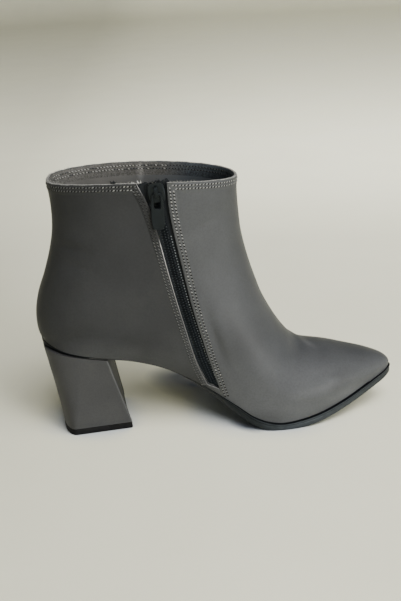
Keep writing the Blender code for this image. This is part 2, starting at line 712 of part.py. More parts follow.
def build_insole():
    levels = [sole_level(INSOLE_INSET, lambda x: 0.0, lambda x, up=up: feather_z(x) + up, SOLE_CUTS, 4)
              for up in (HALF_GAP + INSOLE_THICK, HALF_GAP)]
    verts, faces = stack(levels)
    return make_object("insole", verts, faces, DARK_LINING, 0.8)


def heel_row(drop, name):
    values = np.array(HEEL_LEVELS)
    return float(np.interp(drop, values[:, 0], values[:, HEEL_COLUMNS.index(name)]))


def heel_plan(drop, inset=0.0):
    """Plan of the heel at a level, stations from back to breast and points across."""
    back = heel_row(drop, "back") + inset
    front = heel_row(drop, "front") - inset
    breast = heel_row(drop, "breast")
    skew = heel_row(drop, "skew")
    turn_share = heel_row(drop, "bend")
    power = heel_row(drop, "square")
    plan = np.zeros((HEEL_CUTS + 1, HEEL_ACROSS + 1, 2))
    share_across = np.linspace(0, 1, HEEL_ACROSS + 1)
    for i in range(HEEL_CUTS + 1):
        turn = i / HEEL_CUTS * math.pi / 2
        along = 1 - math.cos(turn)
        along = 0.55 * along + 0.45 * (i / HEEL_CUTS) ** 2
        bend = min(along / turn_share, 1.0)
        wide = max(1 - (1 - bend) ** power, 0.0) ** (1 / power)
        lose = max(along - turn_share, 0.0) / (1 - turn_share)
        medial = -(heel_row(drop, "medial") - inset - lose * heel_row(drop, "fall_medial")) * wide
        lateral = (heel_row(drop, "lateral") - inset - lose * heel_row(drop, "fall_lateral")) * wide
        ys = medial + (lateral - medial) * share_across
        stand = breast * 4 * share_across * (1 - share_across) - skew * share_across
        xs = back + (front - back) * along + stand * along ** 2
        plan[i, :, 0] = xs
        plan[i, :, 1] = ys
    return plan


def build_heel():
    levels = []
    bottom = LIFT_THICK + GAP
    for drop in np.linspace(0, 1, HEEL_STEPS + 1):
        plan = heel_plan(drop)
        top = np.array([[sole_bottom(x) - GAP for x in row] for row in plan[:, :, 0]])
        seat = np.array([[sole_bottom(x) - GAP for x in row] for row in heel_plan(0.0)[:, :, 0]])
        z = seat * (1 - drop) + bottom * drop if drop > 0 else top
        levels.append(np.concatenate((plan, z[:, :, None]), axis=2))
    verts, faces = stack(levels)
    make_object("heel", verts, faces, GREY_LEATHER, 0.5)
    levels = []
    for inset, z in ((0.15, LIFT_THICK), (0.1, 0.7), (0.5, 0.0)):
        plan = heel_plan(1.0, inset)
        levels.append(np.concatenate((plan, np.full(plan.shape[:2] + (1,), z)), axis=2))
    verts, faces = stack(levels)
    make_object("heel_top_piece", verts, faces, BLACK_SOLE, 0.7)


upper_object = build_upper()
build_zip(upper_object)
build_slider()
build_outsole()
build_insole()
build_heel()
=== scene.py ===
"""Grey leather ankle boot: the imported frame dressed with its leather, seams, zip and sole."""
import math

import bmesh
import bpy
import numpy as np
from mathutils import Matrix, Vector
from mathutils.bvhtree import BVHTree


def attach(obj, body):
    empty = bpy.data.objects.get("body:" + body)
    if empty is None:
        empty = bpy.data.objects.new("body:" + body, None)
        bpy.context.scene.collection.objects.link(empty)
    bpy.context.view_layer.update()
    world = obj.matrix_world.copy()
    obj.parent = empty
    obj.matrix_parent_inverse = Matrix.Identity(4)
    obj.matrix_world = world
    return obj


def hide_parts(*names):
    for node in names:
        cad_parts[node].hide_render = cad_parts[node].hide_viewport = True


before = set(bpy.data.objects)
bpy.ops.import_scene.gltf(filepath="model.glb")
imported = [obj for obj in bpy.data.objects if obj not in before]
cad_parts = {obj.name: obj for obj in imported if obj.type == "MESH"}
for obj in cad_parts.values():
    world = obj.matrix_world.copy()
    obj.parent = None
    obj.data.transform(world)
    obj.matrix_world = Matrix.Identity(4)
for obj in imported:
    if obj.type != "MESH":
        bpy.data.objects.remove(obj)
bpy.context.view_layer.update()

MM = 0.001
SHIFT = np.array((0.3, 1.65, 0.0))

# Fits, as in the solids
WALL = 2.0
GAP = 0.3
HALF_GAP = 0.15
FLOOR_EASE = 2.0
FLOOR_EASE_RUN = 3.0
INSOLE_THICK = 2.0
INSOLE_INSET = 3.7
LIFT_THICK = 4.2
TAPE_SPARE = 4.5
TAPE_SPARE_END = 0.8
TAPE_TAPER = 16.0
TURN_WEIGHT = 22.0

# How finely the skin is cut, and how far its rows are smoothed below and above the heel row
FOOT_ROWS = 36
SHAFT_ROWS = 10
HALF_POINTS = 14
ROW_SPLIT = 4
POINT_SPLIT = 6
SMOOTH_PASSES = 4
SMOOTH_BELOW = 6
SMOOTH_ABOVE = 4
SMOOTH_EDGE = 3.0
SIDE_SAMPLES = 160
FEATHER_SAMPLES = 241

# One row for each section of the last, from the toe tip to the collar. top is the front line of the boot,
# low is the feather line underneath and then the back line; medial and lateral are the greatest half widths,
# widest says how far down the section they lie, foot_ is the half width at the feather line, crown and tuck
# say how square the section is above and below, bow lifts the middle of the section.
COLUMNS = ("top_x", "top_z", "low_x", "low_z", "top_y", "low_y", "medial", "lateral", "widest",
           "foot_medial", "foot_lateral", "crown", "tuck", "bow")
SECTIONS = (
    (122.3, 29.2, 122.1, 27.6, -3.0, -3.0, 0.0, 0.0, 0.60, 0.0, 0.0, 2.0, 2.0, 0.0),
    (121.1, 31.8, 120.7, 27.0, -3.0, -3.0, 4.7, 4.7, 0.60, 4.3, 4.3, 2.0, 2.0, 0.0),
    (117.9, 34.2, 117.0, 25.3, -2.9, -2.9, 9.1, 9.1, 0.60, 8.5, 8.4, 2.1, 2.0, 0.0),
    (112.4, 36.5, 110.2, 22.4, -2.6, -2.5, 14.2, 14.0, 0.62, 13.2, 12.9, 2.1, 2.0, 0.0),
    (103.8, 39.2, 99.5, 18.0, -2.2, -1.8, 21.0, 20.2, 0.64, 19.9, 19.0, 2.1, 2.0, 0.0),
    (93.0, 42.0, 85.5, 13.0, -1.8, -1.0, 29.3, 27.2, 0.65, 28.2, 25.8, 2.0, 2.0, 0.0),
    (81.6, 44.9, 69.5, 8.5, -1.2, -0.5, 37.0, 33.2, 0.65, 35.6, 31.7, 2.0, 2.0, 0.0),
    (71.4, 47.1, 53.5, 5.5, -0.8, 0.0, 41.6, 37.8, 0.65, 40.2, 36.0, 1.9, 2.0, 0.0),
    (62.8, 48.5, 38.0, 4.9, -0.4, 0.0, 43.2, 40.2, 0.64, 42.0, 38.4, 1.9, 2.0, 0.0),
    (56.4, 50.6, 23.5, 8.7, 0.0, 0.0, 41.5, 40.4, 0.60, 39.6, 38.2, 1.9, 2.0, 0.0),
    (50.6, 56.6, 9.5, 17.4, 0.0, 0.0, 38.0, 38.6, 0.56, 34.2, 36.3, 1.9, 2.1, 0.0),
    (44.4, 65.2, -5.0, 26.4, 0.0, 0.0, 35.6, 37.0, 0.52, 28.9, 33.8, 1.9, 2.2, 0.0),
    (38.0, 76.3, -20.5, 35.6, 0.0, 0.0, 34.4, 35.8, 0.48, 26.1, 31.0, 1.9, 2.3, 0.0),
    (32.5, 88.0, -37.0, 44.1, 0.0, 0.0, 33.8, 34.8, 0.46, 25.4, 29.4, 1.9, 2.5, 0.0),
    (28.5, 100.0, -55.0, 50.6, 0.0, 0.0, 33.6, 34.2, 0.45, 26.4, 29.2, 1.9, 2.7, 0.0),
    (25.3, 110.5, -73.5, 55.1, 0.0, 0.0, 33.6, 34.0, 0.45, 28.2, 29.4, 1.9, 2.8, 0.0),
    (23.0, 119.5, -90.5, 58.2, 0.0, 0.0, 33.6, 34.0, 0.44, 28.6, 29.0, 1.9, 2.9, 0.0),
    (21.4, 126.5, -105.0, 61.2, -0.4, 0.0, 33.6, 34.0, 0.43, 25.2, 25.5, 1.92, 2.9, 0.0),
    (20.4, 132.0, -115.8, 64.9, -0.8, 0.0, 33.6, 34.0, 0.425, 17.8, 18.0, 1.94, 2.9, 0.0),
    (19.8, 136.0, -121.0, 67.3, -1.1, 0.0, 33.6, 34.0, 0.42, 9.2, 9.3, 1.96, 2.9, 0.0),
    (19.5, 139.0, -122.6, 68.2, -1.3, 0.0, 33.6, 34.0, 0.42, 0.0, 0.0, 1.98, 2.9, 0.0),
    (19.2, 143.0, -124.3, 74.0, -1.5, 0.2, 33.5, 33.8, 0.42, 0.0, 0.0, 2.0, 2.8, 0.0),
    (18.9, 148.0, -124.4, 85.0, -1.8, 0.4, 33.3, 33.6, 0.43, 0.0, 0.0, 2.0, 2.7, 0.0),
    (18.6, 153.0, -121.5, 98.0, -2.0, 0.6, 33.2, 33.4, 0.44, 0.0, 0.0, 2.0, 2.6, 0.2),
    (18.4, 158.0, -116.0, 112.0, -2.3, 0.9, 33.0, 33.2, 0.45, 0.0, 0.0, 2.05, 2.6, 0.4),
    (18.3, 162.5, -110.8, 128.0, -2.5, 1.2, 33.0, 33.0, 0.46, 0.0, 0.0, 2.1, 2.5, 0.8),
    (18.3, 166.3, -107.6, 143.0, -2.7, 1.5, 33.0, 33.0, 0.475, 0.0, 0.0, 2.15, 2.5, 1.5),
    (18.4, 169.6, -107.0, 159.0, -2.9, 1.8, 33.0, 33.0, 0.49, 0.0, 0.0, 2.2, 2.5, 2.1),
    (18.8, 172.5, -108.4, 175.6, -3.0, 2.0, 33.0, 33.0, 0.50, 0.0, 0.0, 2.25, 2.5, 2.7),
)
HEEL_ROW = 20
LAST_ROW = len(SECTIONS) - 1

# The sole by place along the boot: thickness under the feather line, how far it stands out past the upper and
# how far its underside is cut back at the waist
SOLE_COLUMNS = ("x", "thick", "ledge", "bevel")
SOLE = (
    (-124.0, 5.2, 0.2, 0.0),
    (-114.0, 2.6, 0.1, 0.2),
    (-102.0, 1.5, 0.0, 0.4),
    (-76.0, 1.3, -0.5, 0.8),
    (-58.0, 1.6, -1.2, 3.5),
    (-38.0, 2.2, -1.2, 6.0),
    (-14.0, 3.4, 0.0, 5.0),
    (10.0, 4.6, 1.4, 1.5),
    (26.0, 5.0, 2.0, 0.0),
    (60.0, 5.0, 2.0, 0.0),
    (95.0, 5.2, 2.0, 0.0),
    (125.0, 5.6, 2.0, 0.0),
)

# The heel block from its seat to the floor: back and front along the boot, half widths, how much they fall
# towards the breast, how far the middle of the breast stands forward and how far its lateral end lies back,
# what share of the length the back takes to turn and how square that turn is
HEEL_COLUMNS = ("drop", "back", "front", "medial", "lateral", "fall_medial", "fall_lateral", "breast", "skew",
                "bend", "square")
HEEL_LEVELS = (
    (0.00, -121.8, -76.0, 28.2, 28.4, 0.4, 0.2, 1.4, 2.5, 0.60, 2.5),
    (0.25, -119.2, -72.8, 28.4, 28.2, 1.4, 0.3, 0.8, 3.5, 0.50, 2.4),
    (0.50, -116.6, -69.4, 28.8, 28.2, 2.8, 0.5, 0.2, 4.8, 0.40, 2.2),
    (0.75, -114.3, -66.0, 29.4, 28.2, 4.4, 0.7, -0.4, 6.0, 0.30, 2.1),
    (1.00, -112.3, -62.6, 30.0, 28.2, 6.0, 0.9, -1.0, 7.0, 0.21, 2.0),
)

# The zip's middle line on the medial side, from the collar down, and how far its slot opens to back and front
ZIP_COLUMNS = ("x", "z", "back", "front")
ZIP_LINE = (
    (-37.2, 186.0, 14.0, 9.0),
    (-36.2, 176.0, 11.0, 7.9),
    (-34.9, 166.0, 7.6, 6.6),
    (-33.1, 155.0, 6.0, 5.5),
    (-30.9, 141.5, 5.2, 5.2),
    (-26.7, 119.0, 4.9, 4.9),
    (-22.2, 96.0, 4.5, 4.5),
    (-18.6, 80.0, 4.3, 4.3),
    (-15.2, 66.0, 4.4, 4.4),
    (-12.0, 53.0, 4.4, 4.4),
    (-9.0, 43.0, 4.1, 4.1),
    (-5.7, 33.0, 3.6, 3.6),
    (-4.2, 28.5, 3.4, 3.4),
)
SLOT_TOP = 184.0
SLOT_END = 30.2
TAPE_START = 177.2
TAPE_END = 29.5
COIL_START = 176.8
END_SLANT = 2.6
END_SLANT_RUN = 14.0
ON_MIDDLE = 1e-6


# Lines of points
def unit(v):
    return v / np.maximum(np.linalg.norm(v, axis=-1, keepdims=True), 1e-9)


def walked(line):
    """Length along a line of points up to each of them."""
    return np.concatenate(([0.0], np.cumsum(np.linalg.norm(np.diff(line, axis=0), axis=1))))


def along_line(at, walk, values):
    """Values of a line's points at one or more lengths along it."""
    return np.stack([np.interp(at, walk, values[:, c]) for c in range(3)], axis=-1)


# The last's surface
def curve(values, place, mirror_start=False, mirror_end=False):
    """Smooth curve through evenly placed values; a mirrored end leaves level."""
    v = np.asarray(values, float)
    head = v[1] if mirror_start else 2 * v[0] - v[1]
    tail = v[-2] if mirror_end else 2 * v[-1] - v[-2]
    v = np.concatenate(([head], v, [tail]))
    k = int(min(max(math.floor(place), 0), len(v) - 4))
    s = place - k
    a, b, c, d = v[k:k + 4]
    return b + 0.5 * s * (c - a + s * (2 * a - 5 * b + 4 * c - d + s * (3 * (b - c) + d - a)))


TABLE = {name: [row[i] for row in SECTIONS] for i, name in enumerate(COLUMNS)}
LEVEL_AT_TOE = ("top_x", "low_x", "low_z", "top_y", "low_y", "widest")
SPLIT_AT_HEEL = ("low_x", "low_z", "foot_medial", "foot_lateral")


def section_row(u):
    out = []
    for name in COLUMNS:
        values = TABLE[name]
        level = name in LEVEL_AT_TOE
        if name not in SPLIT_AT_HEEL:
            out.append(curve(values, u, level))
        elif u <= HEEL_ROW:
            out.append(curve(values[:HEEL_ROW + 1], u, level, name in ("low_x", "low_z")))
        elif name in ("foot_medial", "foot_lateral"):
            out.append(0.0)
        else:
            out.append(curve(values[HEEL_ROW:], u - HEEL_ROW))
    return out


FINE_STEPS = 50
FINE = np.array([section_row(i / FINE_STEPS) for i in range(LAST_ROW * FINE_STEPS + 1)])


def section(u):
    place = min(max(u * FINE_STEPS, 0.0), len(FINE) - 1.001)
    k = int(place)
    return dict(zip(COLUMNS, FINE[k] + (FINE[k + 1] - FINE[k]) * (place - k)))


def half_widths(sec, side, t):
    """Half widths of a section at the places t, from 0 on the front line to 1 at the feather or back line."""
    wide = sec[side]
    split = sec["widest"]
    if wide < 1e-6:
        return np.zeros_like(t)
    p = sec["crown"]
    q = sec["tuck"]
    foot = min(max(sec["foot_" + side], 0.0) / wide, 1.0)
    reach = max(1 - foot ** q, 0.0) ** (1 / q)
    over = np.clip(1 - t / split, 0, 1)
    under = np.clip(reach * (t - split) / (1 - split), 0, 1)
    above = np.maximum(1 - over ** p, 0) ** (1 / p)
    below = np.maximum(1 - under ** q, 0) ** (1 / q)
    return wide * np.where(t < split, above, below)


def half_section(u, side, count):
    """Points down one side of a section, front line first, closer together where it turns."""
    sec = section(u)
    split = sec["widest"]
    ease = np.linspace(0, math.pi / 2, SIDE_SAMPLES)
    t = np.concatenate((split * (1 - np.cos(ease)), split + (1 - split) * np.sin(ease[1:])))
    t = np.minimum(t, 1.0)
    top = np.array((sec["top_x"], sec["top_z"]))
    run = np.array((sec["low_x"], sec["low_z"])) - top
    up = np.array((run[1], -run[0])) / max(np.linalg.norm(run), 1e-6)
    flat = top + run * t[:, None] + up * (sec["bow"] * 4 * t * (1 - t))[:, None]
    mid = sec["top_y"] + (sec["low_y"] - sec["top_y"]) * t
    sign = -1 if side == "medial" else 1
    pts = np.column_stack((flat[:, 0], mid + sign * half_widths(sec, side, t), flat[:, 1]))
    step = np.diff(pts, axis=0)
    length = np.maximum(np.linalg.norm(step, axis=1), 1e-9)
    aim = step / length[:, None]
    turn = np.arccos(np.clip((aim[1:] * aim[:-1]).sum(axis=1), -1, 1))
    corner = np.concatenate((turn[:1], turn, turn[-1:]))
    walk = np.concatenate(([0.0], np.cumsum(length + TURN_WEIGHT * (corner[1:] + corner[:-1]) / 2)))
    goal = np.linspace(0, walk[-1], count + 1)
    return along_line(goal, walk, pts)


FEATHER = [section(u) for u in np.linspace(0, HEEL_ROW, FEATHER_SAMPLES)]
FEATHER_X = np.array([s["low_x"] for s in FEATHER])[::-1]
FEATHER_Z = np.array([s["low_z"] for s in FEATHER])[::-1]


def feather_z(x):
    return np.interp(x, FEATHER_X, FEATHER_Z)


def eased_table(column, width=14.0, reach=126, samples=15):
    """One column of the sole's table by place along the boot, with its corners rounded."""
    values = np.array(SOLE)[:, SOLE_COLUMNS.index(column)]
    xs = np.linspace(-reach, reach, 2 * reach + 1)
    near = np.linspace(-width / 2, width / 2, samples)
    return xs, np.mean([np.interp(xs + n, np.array(SOLE)[:, 0], values) for n in near], axis=0)


SOLE_THICK = eased_table("thick")
SOLE_LEDGE = eased_table("ledge")
SOLE_BEVEL = eased_table("bevel")


def sole_top(x):
    return feather_z(x) - GAP


def sole_ledge(x):
    return np.interp(x, *SOLE_LEDGE)


def sole_bottom(x):
    lift = np.maximum(sole_top(x) - np.interp(x, *SOLE_THICK), 0.0)
    return lift * lift / (lift + FLOOR_EASE * np.exp(-lift / FLOOR_EASE_RUN))


def foot_outline(grow, count):
    """Medial and lateral feather points from heel to toe, moved out by grow(x) in plan."""
    us = np.linspace(HEEL_ROW, 0, count + 1)
    sides = []
    for sign, name in ((-1, "foot_medial"), (1, "foot_lateral")):
        fine = np.array([(s["low_x"], s["low_y"] + sign * s[name]) for s in map(section, us)])
        ahead = np.gradient(fine, axis=0)
        ahead[0] = (0.0, sign)
        ahead[-1] = (0.0, -sign)
        out = np.column_stack((-ahead[:, 1], ahead[:, 0])) * sign
        out /= np.maximum(np.linalg.norm(out, axis=1), 1e-9)[:, None]
        sides.append(fine + out * grow(fine[:, 0])[:, None])
    return sides


# Meshes
SAME_POINT = 2e-6


def smooth(mesh, sharp):
    """Smooth shading but for edges that turn by more than so many degrees."""
    mesh.polygons.foreach_set("use_smooth", [True] * len(mesh.polygons))
    mesh.set_sharp_from_angle(angle=math.radians(sharp))


def add_mesh(name, verts, faces, materials, index=None, sharp=50.0, mend=True):
    """Mesh object from millimetre points; mend joins equal points and turns the faces outwards."""
    mesh = bpy.data.meshes.new(name)
    rings = [list(dict.fromkeys(f)) for f in faces]
    keep = [i for i, ring in enumerate(rings) if len(ring) > 2]
    mesh.from_pydata(((np.asarray(verts, float) + SHIFT) * MM).tolist(), [], [rings[i] for i in keep])
    for material in materials:
        mesh.materials.append(material)
    if index is not None:
        mesh.polygons.foreach_set("material_index", [int(index[i]) for i in keep])
    if mend:
        work = bmesh.new()
        work.from_mesh(mesh)
        bmesh.ops.remove_doubles(work, verts=work.verts, dist=SAME_POINT)
        bmesh.ops.recalc_face_normals(work, faces=work.faces)
        work.to_mesh(mesh)
        work.free()
    smooth(mesh, sharp)
    obj = bpy.data.objects.new(name, mesh)
    bpy.context.scene.collection.objects.link(obj)
    return obj


def cut_with(obj, block, sharp):
    """Takes the block's form out of an object's mesh."""
    tool = obj.modifiers.new("cut", "BOOLEAN")
    tool.operation = "DIFFERENCE"
    tool.solver = "EXACT"
    tool.material_mode = "TRANSFER"
    tool.object = block
    bpy.context.view_layer.update()
    obj.data = bpy.data.meshes.new_from_object(obj.evaluated_get(bpy.context.evaluated_depsgraph_get()))
    obj.modifiers.clear()
    smooth(obj.data, sharp)


def grid_faces(start, rows, cols, flip=False):
    faces = []
    for i in range(rows - 1):
        for k in range(cols - 1):
            a = start + i * cols + k
            quad = (a, a + 1, a + cols + 1, a + cols)
            faces.append(quad[::-1] if flip else quad)
    return faces


def rim_of(rows, cols):
    ring = [i * cols for i in range(rows)]
    ring += [(rows - 1) * cols + k for k in range(1, cols)]
    ring += [i * cols + cols - 1 for i in range(rows - 2, -1, -1)]
    ring += [k for k in range(cols - 2, 0, -1)]
    return ring


def stack(levels):
    """Solid from blocks of points laid one below another, and the level that each face hangs from."""
    rows, cols = levels[0].shape[:2]
    ring = rim_of(rows, cols)
    verts, faces, level_of, rims = [], [], [], []
    for n, level in enumerate(levels):
        flat = level.reshape(-1, 3)
        start = len(verts)
        if n in (0, len(levels) - 1):
            verts.extend(flat)
            block = grid_faces(start, rows, cols, n > 0)
            faces.extend(block)
            level_of.extend([-1 if n == 0 else len(levels)] * len(block))
            rims.append([start + i for i in ring])
        else:
            verts.extend(flat[ring])
            rims.append(list(range(start, start + len(ring))))
    for n, (high, low) in enumerate(zip(rims, rims[1:])):
        for i in range(len(ring)):
            k = (i + 1) % len(ring)
            faces.append((high[i], high[k], low[k], low[i]))
            level_of.append(n)
    return verts, faces, level_of


def add_stack(name, levels, material, sharp=50.0):
    """Mesh object of one material from blocks of points."""
    verts, faces, _ = stack(levels)
    return add_mesh(name, verts, faces, (material,), sharp=sharp)


def strip(stations, closed=False):
    """Solid from rings of points, one ring a station; closed joins the last station to the first."""
    count, size = stations.shape[:2]
    verts = stations.reshape(-1, 3)
    faces, place = [], []
    for i in range(count if closed else count - 1):
        n = (i + 1) % count
        for k in range(size):
            m = (k + 1) % size
            faces.append((i * size + k, i * size + m, n * size + m, n * size + k))
            place.append(k)
    if not closed:
        faces.append(tuple(range(size))[::-1])
        faces.append(tuple((count - 1) * size + k for k in range(size)))
        place += [0, 0]
    return verts, faces, place


def circle(centre, first, second, count=6):
    """Points round a centre, from one direction towards another."""
    turns = np.arange(count)[:, None] * 2 * math.pi / count
    return centre + np.cos(turns) * first + np.sin(turns) * second


def tube(verts, faces, rings):
    """Adds a closed tube through rings of points to two lists; gives the number of its faces."""
    start, size, before = len(verts), len(rings[0]), len(faces)
    for r, ring in enumerate(rings):
        verts.extend(ring)
        low = start + r * size
        for a in range(size if r < len(rings) - 1 else 0):
            b = (a + 1) % size
            faces.append((low + a, low + b, low + size + b, low + size + a))
    faces.append(tuple(range(start, start + size))[::-1])
    faces.append(tuple(range(len(verts) - size, len(verts))))
    return len(faces) - before


# Materials
LEVEL = (0.0, 0.0, 0.0)
WHITE = (1.0, 1.0, 1.0, 1.0)
COLD = (0.78, 0.90, 1.0)

# Places of another brightness on leather, lining and heel: middle, half sizes, turn in degrees, brightness.
# Most are painted light and shade; on the leather the first is a scuff.
SCUFF_AND_PAINTED_LIGHT = (
    ((76.5, -34.0, 31.5), (8.5, 9.0, 2.6), (0.0, 4.0, 0.0), 1.22),
    # painted highlight where the instep bends
    ((64.0, -5.5, 47.8), (10.5, 4.0, 9.0), (0.0, 0.0, -50.0), 1.45),
    # from here on, painted light and shade: darker on the toe's top, the shaft's front edge and the ball,
    # lighter low on the quarter, above the heel and low on the toe
    ((97.0, -9.0, 40.0), (22.0, 13.0, 14.0), (0.0, 12.0, 0.0), 0.86),
    ((-80.0, -28.0, 92.0), (36.0, 24.0, 25.0), LEVEL, 1.22),
    ((19.0, -12.0, 118.0), (11.0, 14.0, 62.0), (0.0, -10.0, 0.0), 0.82),
    ((20.0, -31.0, 66.0), (26.0, 20.0, 24.0), LEVEL, 0.80),
    ((-46.0, -32.0, 90.0), (23.0, 20.0, 25.0), LEVEL, 1.2),
    ((-27.0, -31.0, 50.0), (24.0, 20.0, 28.0), LEVEL, 1.55),
    ((84.0, -31.0, 31.0), (22.0, 14.0, 9.0), LEVEL, 0.82),
    ((90.0, -29.0, 17.5), (24.0, 8.0, 7.0), (0.0, 0.0, 24.0), 1.26),
    ((30.0, -41.0, 9.0), (24.0, 10.0, 7.5), (0.0, 0.0, -5.0), 0.74),
    ((-84.0, -30.0, 60.0), (34.0, 16.0, 14.0), LEVEL, 1.7),
    ((-54.0, -30.0, 54.0), (24.0, 16.0, 14.0), LEVEL, 1.45),
)
LINING_TUFT = ((-46.0, 29.0, 171.0), (3.2, 9.0, 9.0), LEVEL, 2.1)
# painted light on the heel's back
HEEL_PAINTED_LIGHT = ((-108.0, -6.0, 34.0), (16.0, 26.0, 46.0), LEVEL, 1.6)

# Tones along an axis of the boot: axis, scale and start of the ramp, stops
# painted shade of the pull tab on the back border's leather
TAB_PAINTED_SHADE = ("Z", 5.0, 0.0, (0.62, 1.0), (0.68, 0.66), (0.84, 0.66), (0.88, 1.0))
# painted light of the floor's bounce: the leather lighter towards the bottom
LOW_BOUNCE_LIGHT = ("Z", 10.0, 0.0, (0.08, 1.34), (0.34, 1.18), (0.62, 1.03), (0.9, 1.0))
# darker and bluer towards the front inside the boot: partly the front lining's own colour, partly painted
# shade
LINING_FRONT_TONE_AND_SHADE = ("X", 13.0, 1.0, (0.15, 1.0), (0.85, (0.52, 0.62, 0.76)))
# the same for the collar's facing: partly its own colour, partly painted shade
FACING_FRONT_TONE_AND_SHADE = ("X", 5.0, 0.3, (0.0, 1.0), (0.14, 0.8), (0.24, (0.46, 0.54, 0.66)),
                (0.36, (0.38, 0.46, 0.58)))
TAPE_HEIGHT = ("Z", 5.0, 0.0, (0.15, 2.8), (0.3, 1.6), (0.45, 1.05), (0.6, 1.0))
COIL_AHEAD = ("X", 5.0, 0.3, (0.12, 1.0), (0.2, 1.1), (0.28, 2.6))
# painted shade on the sole's side: darkest behind the ball, darker again towards the toe
SOLE_SIDE_PAINTED_SHADE = ("X", 5.0, 0.3, (0.18, 0.1), (0.40, 0.25), (0.52, 1.05), (0.66, 0.92), (0.88, 0.62))
# painted highlight and shade along the zip's cut edge
CUT_EDGE_LIGHT_AND_SHADE = ("Z", 5.0, 0.0, (0.15, 0.07), (0.42, 0.13), (0.59, 0.33), (0.675, 0.46), (0.70, 0.035),
            (0.845, 0.03), (0.87, 0.34))

# The seam line between quarter and vamp, in metres: slope, place at the floor, and how soft it is by side
PANEL_LEAN = 0.2156
PANEL_FOOT = 0.0022
PANEL_SOFTNESS = {"From Min": -0.012, "From Max": 0.012, "To Min": 90.0, "To Max": 12.0}


class Look:
    """A material's nodes, with the place on the boot as input of its patterns."""

    def __init__(self, name, rough, specular=0.5, coat=0.0, sheen=0.0, tint=(1.0, 1.0, 1.0)):
        self.material = bpy.data.materials.new(name)
        self.material.use_nodes = True
        self.tree = self.material.node_tree
        self.shader = self.tree.nodes["Principled BSDF"].inputs
        values = {"Roughness": rough, "Specular IOR Level": specular, "Specular Tint": (*tint, 1.0),
                  "Coat Weight": coat, "Coat Roughness": 0.4, "Sheen Weight": sheen}
        for socket, value in values.items():
            self.shader[socket].default_value = value
        self.where = self.node("ShaderNodeTexCoord").outputs["Object"]
        self.axes = self.node("ShaderNodeSeparateXYZ", Vector=self.where).outputs

    def feed(self, socket, value):
        """Links another node's output to a socket, or sets the socket to a value."""
        if isinstance(value, bpy.types.NodeSocket):
            self.tree.links.new(value, socket)
        else:
            socket.default_value = value

    def node(self, kind, **inputs):
        node = self.tree.nodes.new(kind)
        for name, value in inputs.items():
            self.feed(node.inputs[name], value)
        return node

    def noise(self, scale, detail=2.0, rough=0.5):
        node = self.node("ShaderNodeTexNoise", Vector=self.where, Scale=scale, Detail=detail, Roughness=rough)
        return node.outputs["Fac"]

    def ramp(self, factor, *stops):
        """Colours by factor; a stop is a place and a grey or a colour."""
        node = self.node("ShaderNodeValToRGB", Fac=factor)
        for _ in stops[2:]:
            node.color_ramp.elements.new(0.5)
        for element, (place, colour) in zip(node.color_ramp.elements, stops):
            element.position = place
            element.color = (*np.broadcast_to(colour, 3), 1.0)
        return node.outputs["Color"]

    def maths(self, kind, *values):
        node = self.node("ShaderNodeMath")
        node.operation = kind
        for socket, value in zip(node.inputs, values):
            self.feed(socket, value)
        return node.outputs["Value"]

    def mix(self, factor, first, second, kind="MIX"):
        node = self.node("ShaderNodeMix")
        node.data_type = "RGBA"
        node.blend_type = kind
        sockets = {socket.identifier: socket for socket in node.inputs}
        for identifier, value in (("Factor_Float", factor), ("A_Color", first), ("B_Color", second)):
            self.feed(sockets[identifier], value)
        return next(s for s in node.outputs if s.identifier == "Result_Color")

    def times(self, tone, other):
        return self.mix(1.0, tone, other, "MULTIPLY")

    def bump(self, height, strength, distance, **under):
        node = self.node("ShaderNodeBump", Height=height, Strength=strength, Distance=distance, **under)
        return node.outputs["Normal"]

    def share(self, axis, scale, start):
        return self.maths("ADD", self.maths("MULTIPLY", self.axes[axis], scale), start)

    def along(self, tone, axis, scale, start, *stops):
        """The tone, changed along one axis of the boot."""
        return self.times(tone, self.ramp(self.share(axis, scale, start), *stops))

    def spot(self, tone, centre, size, turn, bright):
        """The tone, with a soft patch of another brightness round one place of the boot."""
        node = self.node("ShaderNodeMapping", Vector=self.where, Rotation=[math.radians(v) for v in turn],
                         Location=[v * MM for v in np.array(centre) + SHIFT], Scale=[v * MM for v in size])
        node.vector_type = "TEXTURE"
        away = self.node("ShaderNodeVectorMath")
        away.operation = "LENGTH"
        self.feed(away.inputs[0], node.outputs["Vector"])
        full = np.broadcast_to(bright, 3)
        fade = self.ramp(away.outputs["Value"], (0.0, full), (0.55, (full + 1) / 2), (1.0, 1.0))
        return self.times(tone, fade)

    def panels(self, tone, back):
        """The quarter behind the zip is darker than the vamp, partly its own tone and partly painted shade;
        on the outer side the tone changes slowly.
        """
        lean = self.maths("MULTIPLY", self.axes["Z"], PANEL_LEAN)
        ahead = self.maths("ADD", self.maths("ADD", self.axes["X"], lean), -PANEL_FOOT)
        soft = self.node("ShaderNodeMapRange", Value=self.axes["Y"], **PANEL_SOFTNESS).outputs["Result"]
        share = self.maths("ADD", self.maths("MULTIPLY", ahead, soft), 0.7)
        return self.times(tone, self.ramp(share, (0.0, back), (1.0, 1.0)))

    def toned(self, tone, spots=(), tones=()):
        for spot in spots:
            tone = self.spot(tone, *spot)
        for change in tones:
            tone = self.along(tone, *change)
        return tone

    def finish(self, colour, normal, gloss=None):
        self.feed(self.shader["Base Color"], colour)
        self.feed(self.shader["Normal"], normal)
        if gloss is not None:
            self.feed(self.shader["Roughness"], gloss)
        return self.material


